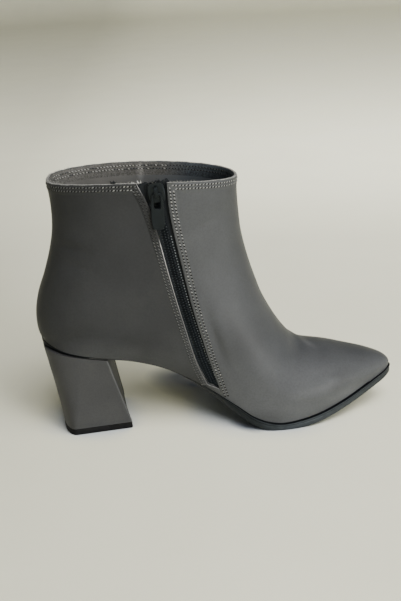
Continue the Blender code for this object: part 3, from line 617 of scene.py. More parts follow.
def leather(name, dark, light, rough=0.5, quarter=None, scuffs=False, spots=(), tones=()):
    """Fine grained leather; quarter is the darker tone behind the zip, partly the quarter's own and partly
    painted shade.
    """
    look = Look(name, rough, specular=0.12, coat=0.02)
    tone = look.ramp(look.noise(26.0, 4.0, 0.55), (0.34, dark), (0.66, light))
    tone = look.times(tone, look.ramp(look.noise(850.0), (0.30, 0.90), (0.62, 1.04)))
    if scuffs:
        worn = look.ramp(look.noise(95.0, 5.0, 0.62), (0.66, 0.0), (0.82, 0.35))
        tone = look.mix(worn, tone, (*(c * 1.5 for c in light), 1.0))
    tone = look.toned(tone, spots, tones)
    if quarter is not None:
        tone = look.along(look.panels(tone, quarter), *LOW_BOUNCE_LIGHT)
    gloss = look.ramp(look.noise(70.0, 4.0, 0.6), (0.3, rough - 0.05), (0.7, rough + 0.07))
    cells = look.node("ShaderNodeTexVoronoi", Vector=look.where, Scale=1150.0).outputs["Distance"]
    uneven = look.maths("MULTIPLY", look.noise(2600.0), 0.4)
    fine = look.maths("ADD", look.maths("MULTIPLY", cells, 0.6), uneven)
    soft = look.bump(look.noise(42.0, 3.0), 0.10, 0.0012)
    return look.finish(tone, look.bump(fine, 0.10, 0.00025, Normal=soft), gloss)


def woven(name, dark, light, pitch, rough, lift, sheen, spots=(), tones=()):
    """Cloth with two crossing sets of threads."""
    look = Look(name, rough, specular=0.25, sheen=sheen)
    threads = []
    for axis, scale in (("X", 1.0), ("Z", 0.8)):
        wave = look.node("ShaderNodeTexWave", Vector=look.where, Scale=scale * 0.314 / (pitch * MM),
                         Distortion=0.6, Detail=1.0)
        wave.bands_direction = axis
        threads.append(wave.outputs["Fac"])
    weave = look.maths("MAXIMUM", *threads)
    mottle = look.ramp(look.noise(60.0, 3.0), (0.3, 0.82), (0.7, 1.08))
    tone = look.times(look.ramp(weave, (0.2, dark), (0.9, light)), mottle)
    fuzz = look.maths("ADD", weave, look.maths("MULTIPLY", look.noise(3000.0, 1.0), 0.5))
    return look.finish(look.toned(tone, spots, tones), look.bump(fuzz, lift, 0.00025))


def plain(name, dark, light, rough, scale, specular, lift=0.1, size=0.0002, tint=(1.0, 1.0, 1.0), spots=(),
          tones=()):
    """Plain stuff with a fine uneven face: rubber, nylon, enamel, thread, raw edge."""
    look = Look(name, rough, specular, tint=tint)
    tone = look.ramp(look.noise(scale, 4.0, 0.6), (0.3, dark), (0.7, light))
    gloss = look.ramp(look.noise(scale * 0.6, 3.0), (0.3, rough - 0.06), (0.7, rough + 0.08))
    face = look.bump(look.noise(scale * 4.0, 3.0), lift, size)
    return look.finish(look.toned(tone, spots, tones), face, gloss)


def cut_edge(name):
    """Cut edge of the leather along the zip: bright with a painted highlight above the foot, dull with
    painted shade under the tab and below.
    """
    look = Look(name, 0.8, specular=0.2)
    fleck = look.ramp(look.noise(900.0, 3.0), (0.3, 0.6), (0.7, 1.15))
    tone = look.times(look.along(WHITE, *CUT_EDGE_LIGHT_AND_SHADE), fleck)
    return look.finish(tone, look.bump(look.noise(2500.0), 0.4, 0.0002))


LEATHER = leather("grey_leather", (0.0383, 0.0403, 0.0434), (0.0474, 0.0496, 0.0530), quarter=0.44,
                  scuffs=True, spots=SCUFF_AND_PAINTED_LIGHT)
BORDER, BORDER_BACK_TAB_SHADE = (leather(name, (0.0413, 0.0433, 0.0462), (0.0517, 0.054, 0.0572), 0.54, 0.47,
                               spots=SCUFF_AND_PAINTED_LIGHT, tones=tones)
                       for name, tones in (("border_leather", ()), ("border_back", (TAB_PAINTED_SHADE,))))
HEEL_SKIN = leather("heel_leather", (0.0285, 0.0293, 0.0306), (0.0348, 0.0357, 0.0372), spots=(HEEL_PAINTED_LIGHT,))
# the breast's leather darkened: painted shade under the arch
HEEL_BREAST_SHADE = leather("heel_breast_painted_shade", (0.0138, 0.0142, 0.0149), (0.0184, 0.0188, 0.0196), 0.6)
HEEL_EDGE = leather("heel_edge", (0.0425, 0.0435, 0.0452), (0.0578, 0.0589, 0.0609))
SOCK = leather("sock_leather", (0.020, 0.020, 0.021), (0.028, 0.028, 0.029), 0.6)
LINING = woven("lining", (0.066, 0.0645, 0.061), (0.098, 0.0955, 0.090), 0.45, 0.7, 0.20, 0.05,
               (LINING_TUFT,), (LINING_FRONT_TONE_AND_SHADE,))
TAPE = woven("zip_tape_cloth", (0.002, 0.003, 0.0042), (0.0052, 0.0072, 0.0096), 0.6, 0.85, 0.4, 0.015,
             tones=(TAPE_HEIGHT,))
RAW_EDGE = plain("raw_edge", (0.10, 0.10, 0.097), (0.34, 0.34, 0.325), 0.85, 900.0, 0.2, 0.5, 0.0003)
# black edge: down the slot's walls it is painted shade; on the heel it darkens the breast's far corner
BLACK_EDGE = plain("black_edge", (0.004, 0.0045, 0.005), (0.010, 0.011, 0.012), 0.7, 700.0, 0.15)
ZIP_EDGE_PAINTED_LIGHT = cut_edge("zip_cut_edge_painted_light")
FACING = plain("collar_facing", (0.040, 0.039, 0.037), (0.115, 0.113, 0.107), 0.85, 950.0, 0.1, 0.5, 0.0003,
               spots=(LINING_TUFT,), tones=(FACING_FRONT_TONE_AND_SHADE,))
NYLON = plain("zip_nylon", (0.0014, 0.0019, 0.0026), (0.003, 0.004, 0.0052), 0.6, 600.0, 0.08, tint=COLD,
              tones=(COIL_AHEAD,))
ENAMEL = plain("black_enamel", (0.0016, 0.0021, 0.0025), (0.0042, 0.0052, 0.0060), 0.38, 220.0, 0.2, 0.06,
               0.0001, COLD)
# the sole's rubber darkened where it lies in shade: painted shade in the groove, under the lip, on the bevel
# underneath and behind the waist
SOLE_IN_SHADE = plain("sole_painted_shade", (0.002, 0.0024, 0.003), (0.004, 0.0046, 0.0055), 0.6, 300.0, 0.1, tint=COLD)
SOLE_SIDE = plain("sole_side", (0.016, 0.0184, 0.0208), (0.026, 0.0296, 0.0332), 0.5, 240.0, 0.22, 0.12,
                  tint=COLD, tones=(SOLE_SIDE_PAINTED_SHADE,))
SOLE_UNDER = plain("sole_under", (0.010, 0.011, 0.012), (0.018, 0.019, 0.020), 0.75, 420.0, 0.2, 0.4, 0.0003)
LIFT_RUBBER = plain("lift_rubber", (0.0022, 0.0023, 0.0026), (0.0045, 0.0046, 0.005), 0.65, 380.0, 0.1, 0.2)
FIBRE = plain("rim_fibre", (0.12, 0.12, 0.112), (0.30, 0.30, 0.285), 0.9, 1500.0, 0.1)
LINT = plain("lint", (0.40, 0.40, 0.39), (0.65, 0.65, 0.63), 0.9, 1500.0, 0.1)
TAPE_THREAD = plain("zip_thread", (0.11, 0.125, 0.132), (0.26, 0.285, 0.30), 0.7, 1500.0, 0.2)
TAPE_THREAD_DIM = plain("zip_thread_dim", (0.012, 0.0145, 0.0165), (0.042, 0.049, 0.055), 0.7, 1500.0, 0.1)

# Threads and needle holes of the leather's seams: name, dark and light tone, roughness, scale, specular,
# lift. The needle holes are dark discs, painted shade of the holes; the dim and dark threads and the lining's
# dim and light threads are copies of one thread with painted shade and light.
SEAM_LOOKS = (
    ("thread", (0.13, 0.133, 0.131), (0.22, 0.223, 0.22), 0.75, 1800.0, 0.2, 0.4),
    # dark discs at the needle holes: painted shade of the holes
    ("needle_hole_shade", (0.004, 0.004, 0.004), (0.009, 0.009, 0.009), 0.9, 900.0, 0.05, 0.1),
    ("lining_thread", (0.030, 0.033, 0.036), (0.060, 0.064, 0.068), 0.8, 1800.0, 0.15, 0.4),
    ("thread_dim", (0.050, 0.051, 0.052), (0.090, 0.092, 0.092), 0.8, 1800.0, 0.15, 0.4),
    ("lining_thread_light", (0.14, 0.14, 0.132), (0.27, 0.27, 0.256), 0.8, 1800.0, 0.5, 0.4),
    ("thread_mid", (0.070, 0.072, 0.072), (0.125, 0.127, 0.126), 0.8, 1800.0, 0.15, 0.4),
    ("thread_tab_shade", (0.020, 0.0205, 0.021), (0.034, 0.0345, 0.035), 0.8, 1800.0, 0.1, 0.4),
)
THREAD, HOLE_SHADE, LINING_DIM, THREAD_DIM, LINING_BRIGHT, THREAD_MID, THREAD_TAB_SHADE = range(len(SEAM_LOOKS))
RNG = np.random.default_rng(11)


# Upper: outer skin with its creases, inner skin one wall inside it, rims at the collar and the feather line
def skin_grid():
    """Points of the skin, their numbers by row and column, the heel's row and the middle column."""
    cuts = HALF_POINTS * POINT_SPLIT
    foot = FOOT_ROWS * ROW_SPLIT
    us = np.concatenate((np.linspace(0, HEEL_ROW, foot + 1),
                         np.linspace(HEEL_ROW, LAST_ROW, SHAFT_ROWS * ROW_SPLIT + 1)[1:]))
    lines = np.array([np.concatenate((half_section(u, "medial", cuts)[::-1],
                                      half_section(u, "lateral", cuts)[1:])) for u in us])
    inward = cuts - np.abs(np.arange(2 * cuts + 1) - cuts)
    keep = np.minimum(inward / (SMOOTH_EDGE * POINT_SPLIT), 1.0)[None, :, None] * 0.5
    first = foot - SMOOTH_BELOW * ROW_SPLIT
    last = foot + SMOOTH_ABOVE * ROW_SPLIT
    for _ in range(SMOOTH_PASSES * ROW_SPLIT ** 2):
        around = (lines[first - 1:last] + lines[first + 1:last + 2]) / 2
        lines[first:last + 1] += (around - lines[first:last + 1]) * keep
    index = np.arange(lines.shape[0] * lines.shape[1]).reshape(lines.shape[:2])
    index[0, cuts + 1:] = index[0, :cuts][::-1]
    index[foot:, 2 * cuts] = index[foot:, 0]
    used, number = np.unique(index, return_inverse=True)
    return lines.reshape(-1, 3)[used], number.reshape(index.shape), foot, cuts


SKIN, INDEX, FOOT, CUTS = skin_grid()
QUADS = np.stack((INDEX[:-1, :-1], INDEX[:-1, 1:], INDEX[1:, 1:], INDEX[1:, :-1]), axis=-1).reshape(-1, 4)


def skin_normals(points):
    turn = np.cross(points[QUADS[:, 2]] - points[QUADS[:, 0]], points[QUADS[:, 3]] - points[QUADS[:, 1]])
    out = np.zeros_like(points)
    for k in range(4):
        np.add.at(out, QUADS[:, k], turn)
    out = unit(out)
    middle = INDEX[FOOT // 2, CUTS]
    return out if out[middle, 2] > 0 else -out


NORMALS = skin_normals(SKIN)

# Soft folds seen in the photo: points on the skin, half width, depth (a ridge is below zero)
FOLDS = (
    ((-8.5, -32.0, 92.0), (-4.2, -33.5, 75.3), (-0.2, -33.9, 60.6), (4.6, -34.1, 43.0), 3.2, 0.60),
    ((-1.5, -33.2, 84.0), (2.5, -34.0, 66.0), (7.0, -35.0, 48.0), 4.5, -0.30),
    ((-108.5, -8.5, 133.0), (-98.7, -21.0, 134.5), (-89.2, -26.5, 133.5), (-78.0, -30.4, 129.4), 3.4, 0.60),
    ((-106.0, -13.5, 139.5), (-94.0, -24.0, 140.0), (-82.0, -29.4, 137.0), 3.6, -0.40),
    ((-110.0, -11.8, 121.9), (-100.9, -21.7, 124.5), (-88.8, -28.3, 121.6), (-76.0, -31.5, 117.0), 4.2, 0.50),
    ((44.0, 29.0, 44.0), (51.5, 18.0, 48.6), (56.0, 7.0, 50.2), (59.0, -4.0, 49.5), (61.5, -14.0, 46.7),
     (61.0, -23.0, 42.6), 4.2, -0.55),
    ((54.0, 0.0, 51.0), (72.0, 0.0, 46.5), (92.0, 0.0, 42.0), (110.0, 0.0, 35.0), (123.0, 0.0, 26.5),
     (136.0, 0.0, 15.0), 15.0, -0.62),
    ((70.0, -4.0, 46.6), (71.0, -12.0, 45.0), (70.0, -20.0, 42.4), 4.0, 0.24),
    ((51.0, -6.0, 52.2), (51.5, -15.0, 50.2), (50.0, -25.0, 45.5), 3.4, 0.24),
    ((61.5, 18.0, 45.2), (58.5, 26.0, 41.8), (53.5, 33.0, 36.0), 2.8, 0.34),
    ((-107.0, 12.0, 131.0), (-97.0, 24.0, 131.5), (-84.0, 30.5, 127.0), 3.8, 0.38),
    ((-108.0, 14.0, 119.0), (-96.0, 27.0, 119.5), (-80.0, 32.0, 114.0), 4.4, 0.30),
    ((8.0, 22.0, 112.0), (0.0, 29.0, 108.0), (-14.0, 32.5, 101.0), 4.2, 0.34),
    ((10.0, 24.0, 98.0), (0.0, 31.0, 93.0), (-16.0, 34.0, 86.0), 4.6, -0.26),
)
FOLD_STRENGTH = 1.8
FOLD_REACH = 90.0
FOLD_STEPS = 24


def fold_depth(points):
    """How far the folds sink each point of the skin, fading towards a fold's ends and sides."""
    depth = np.zeros(len(points))
    for *knots, wide, deep in FOLDS:
        places = np.linspace(0, len(knots) - 1, FOLD_STEPS * (len(knots) - 1) + 1)
        path = np.array([[curve(values, s) for values in zip(*knots)] for s in places])
        near = np.where(np.linalg.norm(points - path.mean(axis=0), axis=1) < FOLD_REACH)[0]
        away = np.linalg.norm(points[near][:, None] - path[None], axis=2)
        share = away.argmin(axis=1) / (len(path) - 1)
        ends = np.sin(np.pi * np.clip(share, 0.02, 0.98)) ** 0.8
        depth[near] += deep * FOLD_STRENGTH * ends * np.exp(-(away.min(axis=1) / wide) ** 2)
    return depth


FACE = SKIN - NORMALS * fold_depth(SKIN)[:, None]
TREE = BVHTree.FromPolygons([tuple(p) for p in SKIN], QUADS.tolist())

# Map of the medial side: place of the skin behind each x, z of the side view, seen from beside the boot
MAP_X = np.arange(-66.0, 30.0, 1.0)
MAP_Z = np.arange(10.0, 196.0, 1.0)
MAP_FROM = -80.0
MAP_PASSES = 3


def medial_map():
    y = np.full((len(MAP_Z), len(MAP_X)), np.nan)
    for i, z in enumerate(MAP_Z):
        for k, x in enumerate(MAP_X):
            hit = TREE.ray_cast(Vector((x, MAP_FROM, z)), Vector((0.0, 1.0, 0.0)))
            if hit[0] is not None and hit[0][1] < 0:
                y[i, k] = hit[0][1]
    for k in range(y.shape[1]):
        good = np.where(~np.isnan(y[:, k]))[0]
        y[:, k] = np.interp(np.arange(len(MAP_Z)), good, y[good, k])
    for _ in range(MAP_PASSES):
        padded = np.pad(y, 1, mode="edge")
        y = (padded[:-2, 1:-1] + padded[2:, 1:-1] + padded[1:-1, :-2] + padded[1:-1, 2:] + 4 * y) / 8
    slope_z, slope_x = np.gradient(y)
    return y, slope_x, slope_z


MEDIAL, MEDIAL_SLOPE_X, MEDIAL_SLOPE_Z = medial_map()


def look_up(grid, x, z):
    a = np.clip((x - MAP_X[0]), 0, len(MAP_X) - 1.001)
    b = np.clip((z - MAP_Z[0]), 0, len(MAP_Z) - 1.001)
    i, k = b.astype(int), a.astype(int)
    s, t = b - i, a - k
    return ((grid[i, k] * (1 - t) + grid[i, k + 1] * t) * (1 - s)
            + (grid[i + 1, k] * (1 - t) + grid[i + 1, k + 1] * t) * s)


def medial(flat, out):
    """Points out from the medial skin at the side view's points."""
    flat = np.asarray(flat, float)
    x, z = flat[..., 0], flat[..., 1]
    slope_x, slope_z = (look_up(grid, x, z) for grid in (MEDIAL_SLOPE_X, MEDIAL_SLOPE_Z))
    normal = unit(np.stack((slope_x, -np.ones_like(x), slope_z), axis=-1))
    return np.stack((x, look_up(MEDIAL, x, z), z), axis=-1) + normal * np.asarray(out)[..., None], normal


# The zip's line, carried on below its end for the borders
ZIP_LONG = ZIP_LINE + ((-2.7, 24.0, 3.2, 3.2), (-1.2, 19.5, 3.0, 3.0))
ZIP_SAMPLES = 340
ZIP_FINE = np.array([[curve([row[c] for row in ZIP_LONG], v) for c in range(len(ZIP_COLUMNS))]
                     for v in np.linspace(0, len(ZIP_LONG) - 1, ZIP_SAMPLES)])


def zip_at(z, column):
    """Place of the zip's middle, or half width of its slot, at a height."""
    return np.interp(-z, -ZIP_FINE[:, 1], ZIP_FINE[:, ZIP_COLUMNS.index(column)])


def slant_at(z, end):
    """How far the zip's foot is cut askew at a height."""
    return END_SLANT * np.clip(1 - (z - end) / END_SLANT_RUN, 0.0, 1.0)


def zip_flat(z, side_share, beyond=0.0, slant=True):
    """Side view point beside the zip's middle: a share of the slot's half width, and so much beyond it."""
    z = np.asarray(z, float)
    share = np.broadcast_to(np.asarray(side_share, float), z.shape)
    if slant:
        z = z - slant_at(z, SLOT_END) * np.clip(share, -1, 1)
    x = zip_at(z, "x")
    down = unit(np.stack((zip_at(z - 1, "x") - x, -np.ones_like(x)), axis=-1))
    across = np.stack((-down[..., 1], down[..., 0]), axis=-1)
    side = np.where(share < 0, share * zip_at(z, "back") - beyond, share * zip_at(z, "front") + beyond)
    return np.stack((x, z), axis=-1) + across * side[..., None]


def beside_slot(heights, sign, beyond):
    """Side view points so far beyond the slot's edge, behind it where the sign is below zero."""
    flat = zip_flat(heights, float(sign))
    return flat + (zip_flat(heights, float(sign), 1.0) - flat) * beyond[:, None]


def zip_ribbon(heights, shares, outs, low, halves=None):
    """Block of points over the zip and one under it."""
    z = np.repeat(heights[:, None], len(shares), axis=1)
    share = np.repeat(np.asarray(shares)[None, :], len(heights), axis=0)
    if halves is None:
        flat = zip_flat(z, share)
    else:
        reach = np.abs(share) * halves(heights, share)
        flat = zip_flat(z - slant_at(z, heights[-1]) * share, np.sign(share) * ON_MIDDLE, reach, slant=False)
    return [medial(flat, np.broadcast_to(np.asarray(out), z.shape))[0] for out in (outs, low)]


UPPER_SHARP = 40.0


def build_upper():
    """Outer skin with its folds, lining skin, collar rim and feather edges; the zip's slot is cut out."""
    inner = SKIN - NORMALS * WALL
    edge = np.unique(np.concatenate((INDEX[:FOOT + 1, 0], INDEX[:FOOT + 1, -1])))
    inner[edge, 2] = SKIN[edge, 2]
    count = len(SKIN)
    faces = QUADS.tolist() + (QUADS[:, ::-1] + count).tolist()
    index = [0] * len(QUADS) + [1] * len(QUADS)
    rim = INDEX[-1]
    for a, b in zip(rim[:-1], rim[1:]):
        faces.append((b, a, a + count, b + count))
        index.append(2)
    for side in (0, -1):
        line = INDEX[:FOOT + 1, side]
        for a, b in zip(line[:-1], line[1:]):
            quad = (a, b, b + count, a + count)
            faces.append(quad if side == 0 else quad[::-1])
            index.append(0)
    skins = (LEATHER, LINING, RAW_EDGE)
    upper = add_mesh("boot_upper", np.concatenate((FACE, inner)), faces, skins, index, UPPER_SHARP)
    cut_with(upper, cutter, UPPER_SHARP)
    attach(upper, "boot")
    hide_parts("upper")


def slot_cutter(reach=6.0):
    """Block through the upper's wall where the zip's slot lies."""
    heights = np.linspace(SLOT_TOP, SLOT_END, 120)
    return add_stack("slot_cutter", zip_ribbon(heights, np.linspace(-1, 1, 9), reach, -reach), RAW_EDGE)


cutter = slot_cutter()
build_upper()

# Collar: the topline is turned over the rim and sewn down with two rows. Its profile is depth under the rim
# and distance out from the skin
COLLAR_PROFILE = ((6.6, -0.25), (6.5, 0.06), (5.9, 0.16), (4.2, 0.20), (2.4, 0.22), (1.0, 0.22), (0.3, 0.12),
                  (-0.08, -0.22), (-0.22, -0.7), (-0.22, -1.3), (-0.08, -1.8), (0.3, -2.12), (1.2, -2.22),
                  (4.0, -2.22), (7.0, -2.12), (9.0, -1.98), (9.0, -1.8))
COLLAR_RAW = range(7, 10)
COLLAR_FACING = range(11, 16)
COLLAR_ROWS = 40
# Small waves of the cut rim: height, rate, start. The far side's rise: height, where it starts, run, depth
RIM_WAVES = ((0.10, 0.9, 0.0), (0.07, 2.3, 1.0))
FAR_RISE = 0.8
FAR_FROM = -6.0
FAR_RUN = 20.0
FAR_DEPTH = 1.5


def columns_below_rim(depths):
    """Points and normals under each point of the rim, at the given depths along the skin."""
    depths = np.asarray(depths)
    points, normals = [], []
    for ids in INDEX[-COLLAR_ROWS:, :2 * CUTS][::-1].T:
        line = SKIN[ids]
        walk = walked(line)
        rise = unit(line[0] - line[3]) * np.maximum(-depths, 0)[:, None]
        points.append(along_line(np.maximum(depths, 0), walk, line) + rise)
        normals.append(along_line(np.maximum(depths, 0), walk, NORMALS[ids]))
    return np.array(points), unit(np.array(normals))


def build_collar():
    """Band turned over the rim, with a raw edge on top and its facing inside."""
    depths, outs = np.array(COLLAR_PROFILE).T
    points, normals = columns_below_rim(depths)
    points = points + normals * outs[None, :, None]
    steps = np.arange(len(points))
    wobble = sum(tall * np.sin(steps * rate + start) for tall, rate, start in RIM_WAVES)
    on_rim = np.where((depths < 0.2) & (outs < 0), 1.0, 0.0)
    points[:, :, 2] += wobble[:, None] * on_rim
    far = np.clip((points[:, COLLAR_RAW[0], 1] - FAR_FROM) / FAR_RUN, 0.0, 1.0)
    points[:, :, 2] += FAR_RISE * far[:, None] * np.clip(FAR_DEPTH - depths, 0.0, 1.0)
    verts, faces, place = strip(points, closed=True)
    index = [1 if k in COLLAR_RAW else 2 if k in COLLAR_FACING else 0 for k in place]
    band = add_mesh("collar_band", verts, faces, (BORDER, RAW_EDGE, FACING), index)
    cut_with(band, cutter, 50.0)
    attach(band, "boot")


build_collar()

# Borders of the zip slot: the leather's edge, sewn down with two rows. A profile is distance from the slot's
# edge and out from the skin, and each of its points has a skin: 0 leather, 1 cut edge with painted highlight
# and shade, 2 black edge, painted shade down the slot's wall
FRONT_PROFILE = ((0.5, -2.2), (-0.05, -1.7), (-0.14, -0.9), (-0.05, -0.12), (0.3, 0.20), (0.9, 0.30),
                 (2.6, 0.33), (4.6, 0.28), (5.7, 0.12), (6.3, -0.15), (6.3, -0.6), (3.0, -0.8), (1.0, -1.2))
BACK_PROFILE = ((0.5, -2.2), (-0.05, -1.8), (-0.14, -0.9), (-0.14, -0.4), (-0.08, 0.0), (0.15, 0.16),
                (0.8, 0.22), (2.6, 0.24), (4.6, 0.18), (5.4, 0.08), (6.0, -0.14), (6.0, -0.6), (3.0, -0.8),
                (1.0, -1.2))
END_PROFILE = ((0.5, -2.2), (-0.1, -1.6), (-0.12, -0.4), (0.2, 0.10), (1.0, 0.20), (2.4, 0.14), (3.0, -0.15),
               (2.0, -0.8))
FRONT_SKINS = (2,) * 2 + (0,) * 11
BACK_SKINS = (2,) * 3 + (1,) * 2 + (0,) * 9
END_SKINS = (0, 0, 1, 0, 0, 0, 0, 0)
END_FALL = np.array((0.31, -0.95))
# The borders' breadth by height; points nearer to the slot than this stay where they are
BORDER_HEIGHTS = (26.0, 32.0, 60.0, 120.0, 178.0)
BORDER_BREADTHS = (0.62, 0.70, 0.76, 0.84, 1.0)
EDGE_STAYS = 1.5
BORDER_STEPS = 170
BORDER_FOOT = 24.6
OVER_RIM = 0.3


def edge_strip(name, flats, profile, index, skin):
    """Strip of leather over stations of side view points, as far out from the skin as the profile says."""
    outs = np.array([out for _, out in profile])
    verts, faces, place = strip(np.array([medial(flat, outs)[0] for flat in flats]))
    skins = (skin, ZIP_EDGE_PAINTED_LIGHT, BLACK_EDGE)[:max(index) + 1]
    piece = add_mesh(name, verts, faces, skins, [index[k] for k in place])
    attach(piece, "boot")


def rim_height(x):
    """Height of the collar's rim on the medial side."""
    line = SKIN[INDEX[-1, :CUTS]]
    order = np.argsort(line[:, 0])
    return np.interp(x, line[order, 0], line[order, 2])


def border(name, sign, profile, index, heights, skin):
    """Border beside the slot, narrower from the collar down."""
    near = np.array([d for d, _ in profile])
    flats = []
    for z in heights:
        narrow = np.interp(z, BORDER_HEIGHTS, BORDER_BREADTHS)
        beyond = np.where(near > EDGE_STAYS, near * narrow, near)
        flat = beside_slot(np.full(len(near), z), sign, beyond)
        flat[:, 1] = np.minimum(flat[:, 1], rim_height(flat[:, 0]) + 0.05)
        flats.append(flat)
    edge_strip(name, flats, profile, index, skin)


def build_slot_end():
    """Leather edge across the foot of the slot."""
    near = np.array([d for d, _ in END_PROFILE])
    flats = []
    for share in np.linspace(-1.0, 1.0, 14):
        heights = np.full(len(near), SLOT_END - END_SLANT * share)
        flats.append(zip_flat(heights, share, slant=False) + END_FALL * near[:, None])
    edge_strip("zip_slot_end", flats, END_PROFILE, END_SKINS, BORDER)


FRONT_Z, BACK_Z = (np.linspace(rim_height(x) + OVER_RIM, SLOT_END, BORDER_STEPS) for x in (-20.0, -50.0))
FRONT_Z = np.concatenate((FRONT_Z, np.linspace(SLOT_END - 1.0, BORDER_FOOT, 10)))
border("zip_border_front", 1, FRONT_PROFILE, FRONT_SKINS, FRONT_Z, BORDER)
border("zip_border_back", -1, BACK_PROFILE, BACK_SKINS, BACK_Z, BORDER_BACK_TAB_SHADE)
build_slot_end()

# Stitches: rows of short threads with the needle holes between them. A thread's rings are share of its
# length, share of its size, lift
THREAD_RINGS = ((-0.5, 0.25, -0.6), (-0.36, 0.85, 0.0), (0.0, 1.0, 0.25), (0.36, 0.85, 0.0),
                (0.5, 0.25, -0.6))
THREAD_LIFT = 0.05
THREAD_AIM = 0.4
LEAN_SWAY = 0.10
SIDE_SWAY = 0.06
LENGTH_SWAY = 0.08
HOLE_LIFT = 0.03
HOLE_POINTS = 8


class Stitches:
    def __init__(self):
        self.verts, self.faces, self.index = [], [], []

    def thread(self, centre, along, normal, length, wide, tall, look):
        side = np.cross(normal, along)
        rings = [circle(centre + along * length * share + normal * lift * tall, side * wide * size,
                        normal * tall * size) for share, size, lift in THREAD_RINGS]
        self.index += [look] * tube(self.verts, self.faces, rings)

    def hole(self, centre, normal, along, size):
        start = len(self.verts)
        side = np.cross(normal, along)
        self.verts.extend(circle(centre + normal * HOLE_LIFT, along * size, side * size, HOLE_POINTS))
        self.faces.append(tuple(range(start, start + HOLE_POINTS)))
        self.index.append(HOLE_SHADE)

    def row(self, points, normals, tone, pitch=2.25, length=1.7, wide=0.36, tall=0.26, lean=0.42, holes=0.44):
        """One row; tone(point) gives the share of bright threads, then the bright and the dim look."""
        walk = walked(points)
        count = int(walk[-1] / pitch)
        for n in range(count):
            s = (n + 0.5) * walk[-1] / count
            centre = along_line(s, walk, points)
            normal = unit(along_line(s, walk, normals))
            along = unit(along_line(s + THREAD_AIM, walk, points) - along_line(s - THREAD_AIM, walk, points))
            side = np.cross(normal, along)
            sway = RNG.normal(0.0, 1.0, 3)
            way = unit(along + side * (lean + LEAN_SWAY * sway[0]))
            share, bright, dim = tone(centre)
            look = bright if RNG.random() < share else dim
            raised = centre + normal * THREAD_LIFT
            longer = length * (1 + LENGTH_SWAY * sway[2])
            self.thread(raised + side * SIDE_SWAY * sway[1], way, normal, longer, wide, tall, look)
            if holes:
                self.hole(raised + along * walk[-1] / count / 2, normal, along, holes)

    def finish(self, name, materials, slot):
        piece = add_mesh(name, self.verts, self.faces, materials, self.index, 80.0, mend=False)
        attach(piece, "boot")


# Places of the two seam rows: depth under the rim, and distance from the slot's edge by height
ROW_DEPTHS = (1.75, 4.0)
ROW_HEIGHTS = (28.0, 60.0, 120.0, 150.0, 170.0)
FRONT_ROWS = ((2.0, 2.0, 2.1, 2.1, 1.7), (4.0, 4.1, 4.4, 4.5, 4.0))
BACK_ROWS = ((1.5, 1.5, 1.6, 1.7, 1.7), (3.3, 3.4, 3.7, 4.0, 4.0))
ROW_CLEAR = 0.6
BAND_OUT = 0.2
FACING_OUT = -2.26
TAB_FOOT = 138.0
TAB_TOP = 168.0


def row_reach(sign, n, z):
    return np.interp(z, ROW_HEIGHTS, (FRONT_ROWS if sign > 0 else BACK_ROWS)[n])


def zip_row(rows, sign, n, heights, out, tone, **style):
    flat = beside_slot(heights, sign, row_reach(sign, n, heights))
    keep = flat[:, 1] < rim_height(flat[:, 0]) - ROW_DEPTHS[n] + 0.2
    points, normals = medial(flat[keep], np.full(keep.sum(), out))
    rows.row(points, normals, tone, **style)


def growing_tone(axis, start, run, least, most, bright, dim):
    """Tone of a row whose share of bright threads grows along an axis, 0 to the toe and 2 upwards."""
    return lambda point: (float(np.clip((point[axis] - start) / run, least, most)), bright, dim)


def back_tone(point):
    """Under the pull tab the back border's threads are darker: painted shade of the tab."""
    return float(TAB_FOOT < point[2] < TAB_TOP), THREAD_TAB_SHADE, THREAD_DIM


# painted shade and light on the collar's rows: outside, dimmer threads towards the back; inside, brighter
# threads towards the back and dimmer at the front
OUTER_PAINTED_SHADE = growing_tone(0, -78.0, 34.0, 0.0, 1.0, THREAD, THREAD_DIM)
INNER_LIGHT_AND_SHADE = growing_tone(0, -20.0, -40.0, 0.0, 0.8, LINING_BRIGHT, LINING_DIM)
FRONT_TONE = growing_tone(2, 115.0, 50.0, 0.1, 1.0, THREAD, THREAD_MID)


def collar_rows(rows):
    """Rows round the collar, outside and inside, open where the zip's rows cross it."""
    points, normals = columns_below_rim(ROW_DEPTHS)
    start = int(np.argmin(points[:, 0, 1]))
    for n in range(len(ROW_DEPTHS)):
        ring = np.roll(points[:, n], -start, axis=0)
        facing = np.roll(normals[:, n], -start, axis=0)
        x, y, z = ring.T
        back = zip_flat(z, -1.0, row_reach(-1, n, z) - ROW_CLEAR)[:, 0]
        front = zip_flat(z, 1.0, row_reach(1, n, z) - ROW_CLEAR)[:, 0]
        keep = np.where((y >= 0) | (x <= back) | (x >= front))[0]
        runs = np.split(keep, np.where(np.diff(keep) > 1)[0] + 1)
        if len(runs) > 1 and keep[0] == 0 and keep[-1] == len(ring) - 1:
            runs[0] = np.concatenate((runs.pop(), runs[0]))
        for run in (run for run in runs if len(run) > 3):
            rows.row(ring[run] + facing[run] * BAND_OUT, facing[run], OUTER_PAINTED_SHADE, holes=0.58)
            rows.row(ring[run] + facing[run] * FACING_OUT, -facing[run], INNER_LIGHT_AND_SHADE, wide=0.34, tall=0.2,
                     lean=-0.42, holes=0.4)


seams = Stitches()
collar_rows(seams)
for number, (high_front, high_back) in enumerate(((0.32, 0.24), (0.24, 0.17))):
    zip_row(seams, 1, number, FRONT_Z, high_front, FRONT_TONE, wide=0.40, holes=0.66)
    zip_row(seams, -1, number, BACK_Z, high_back, back_tone, wide=0.28, holes=0.34)
seams.finish("seam_stitches", [plain(*look) for look in SEAM_LOOKS], "leather")

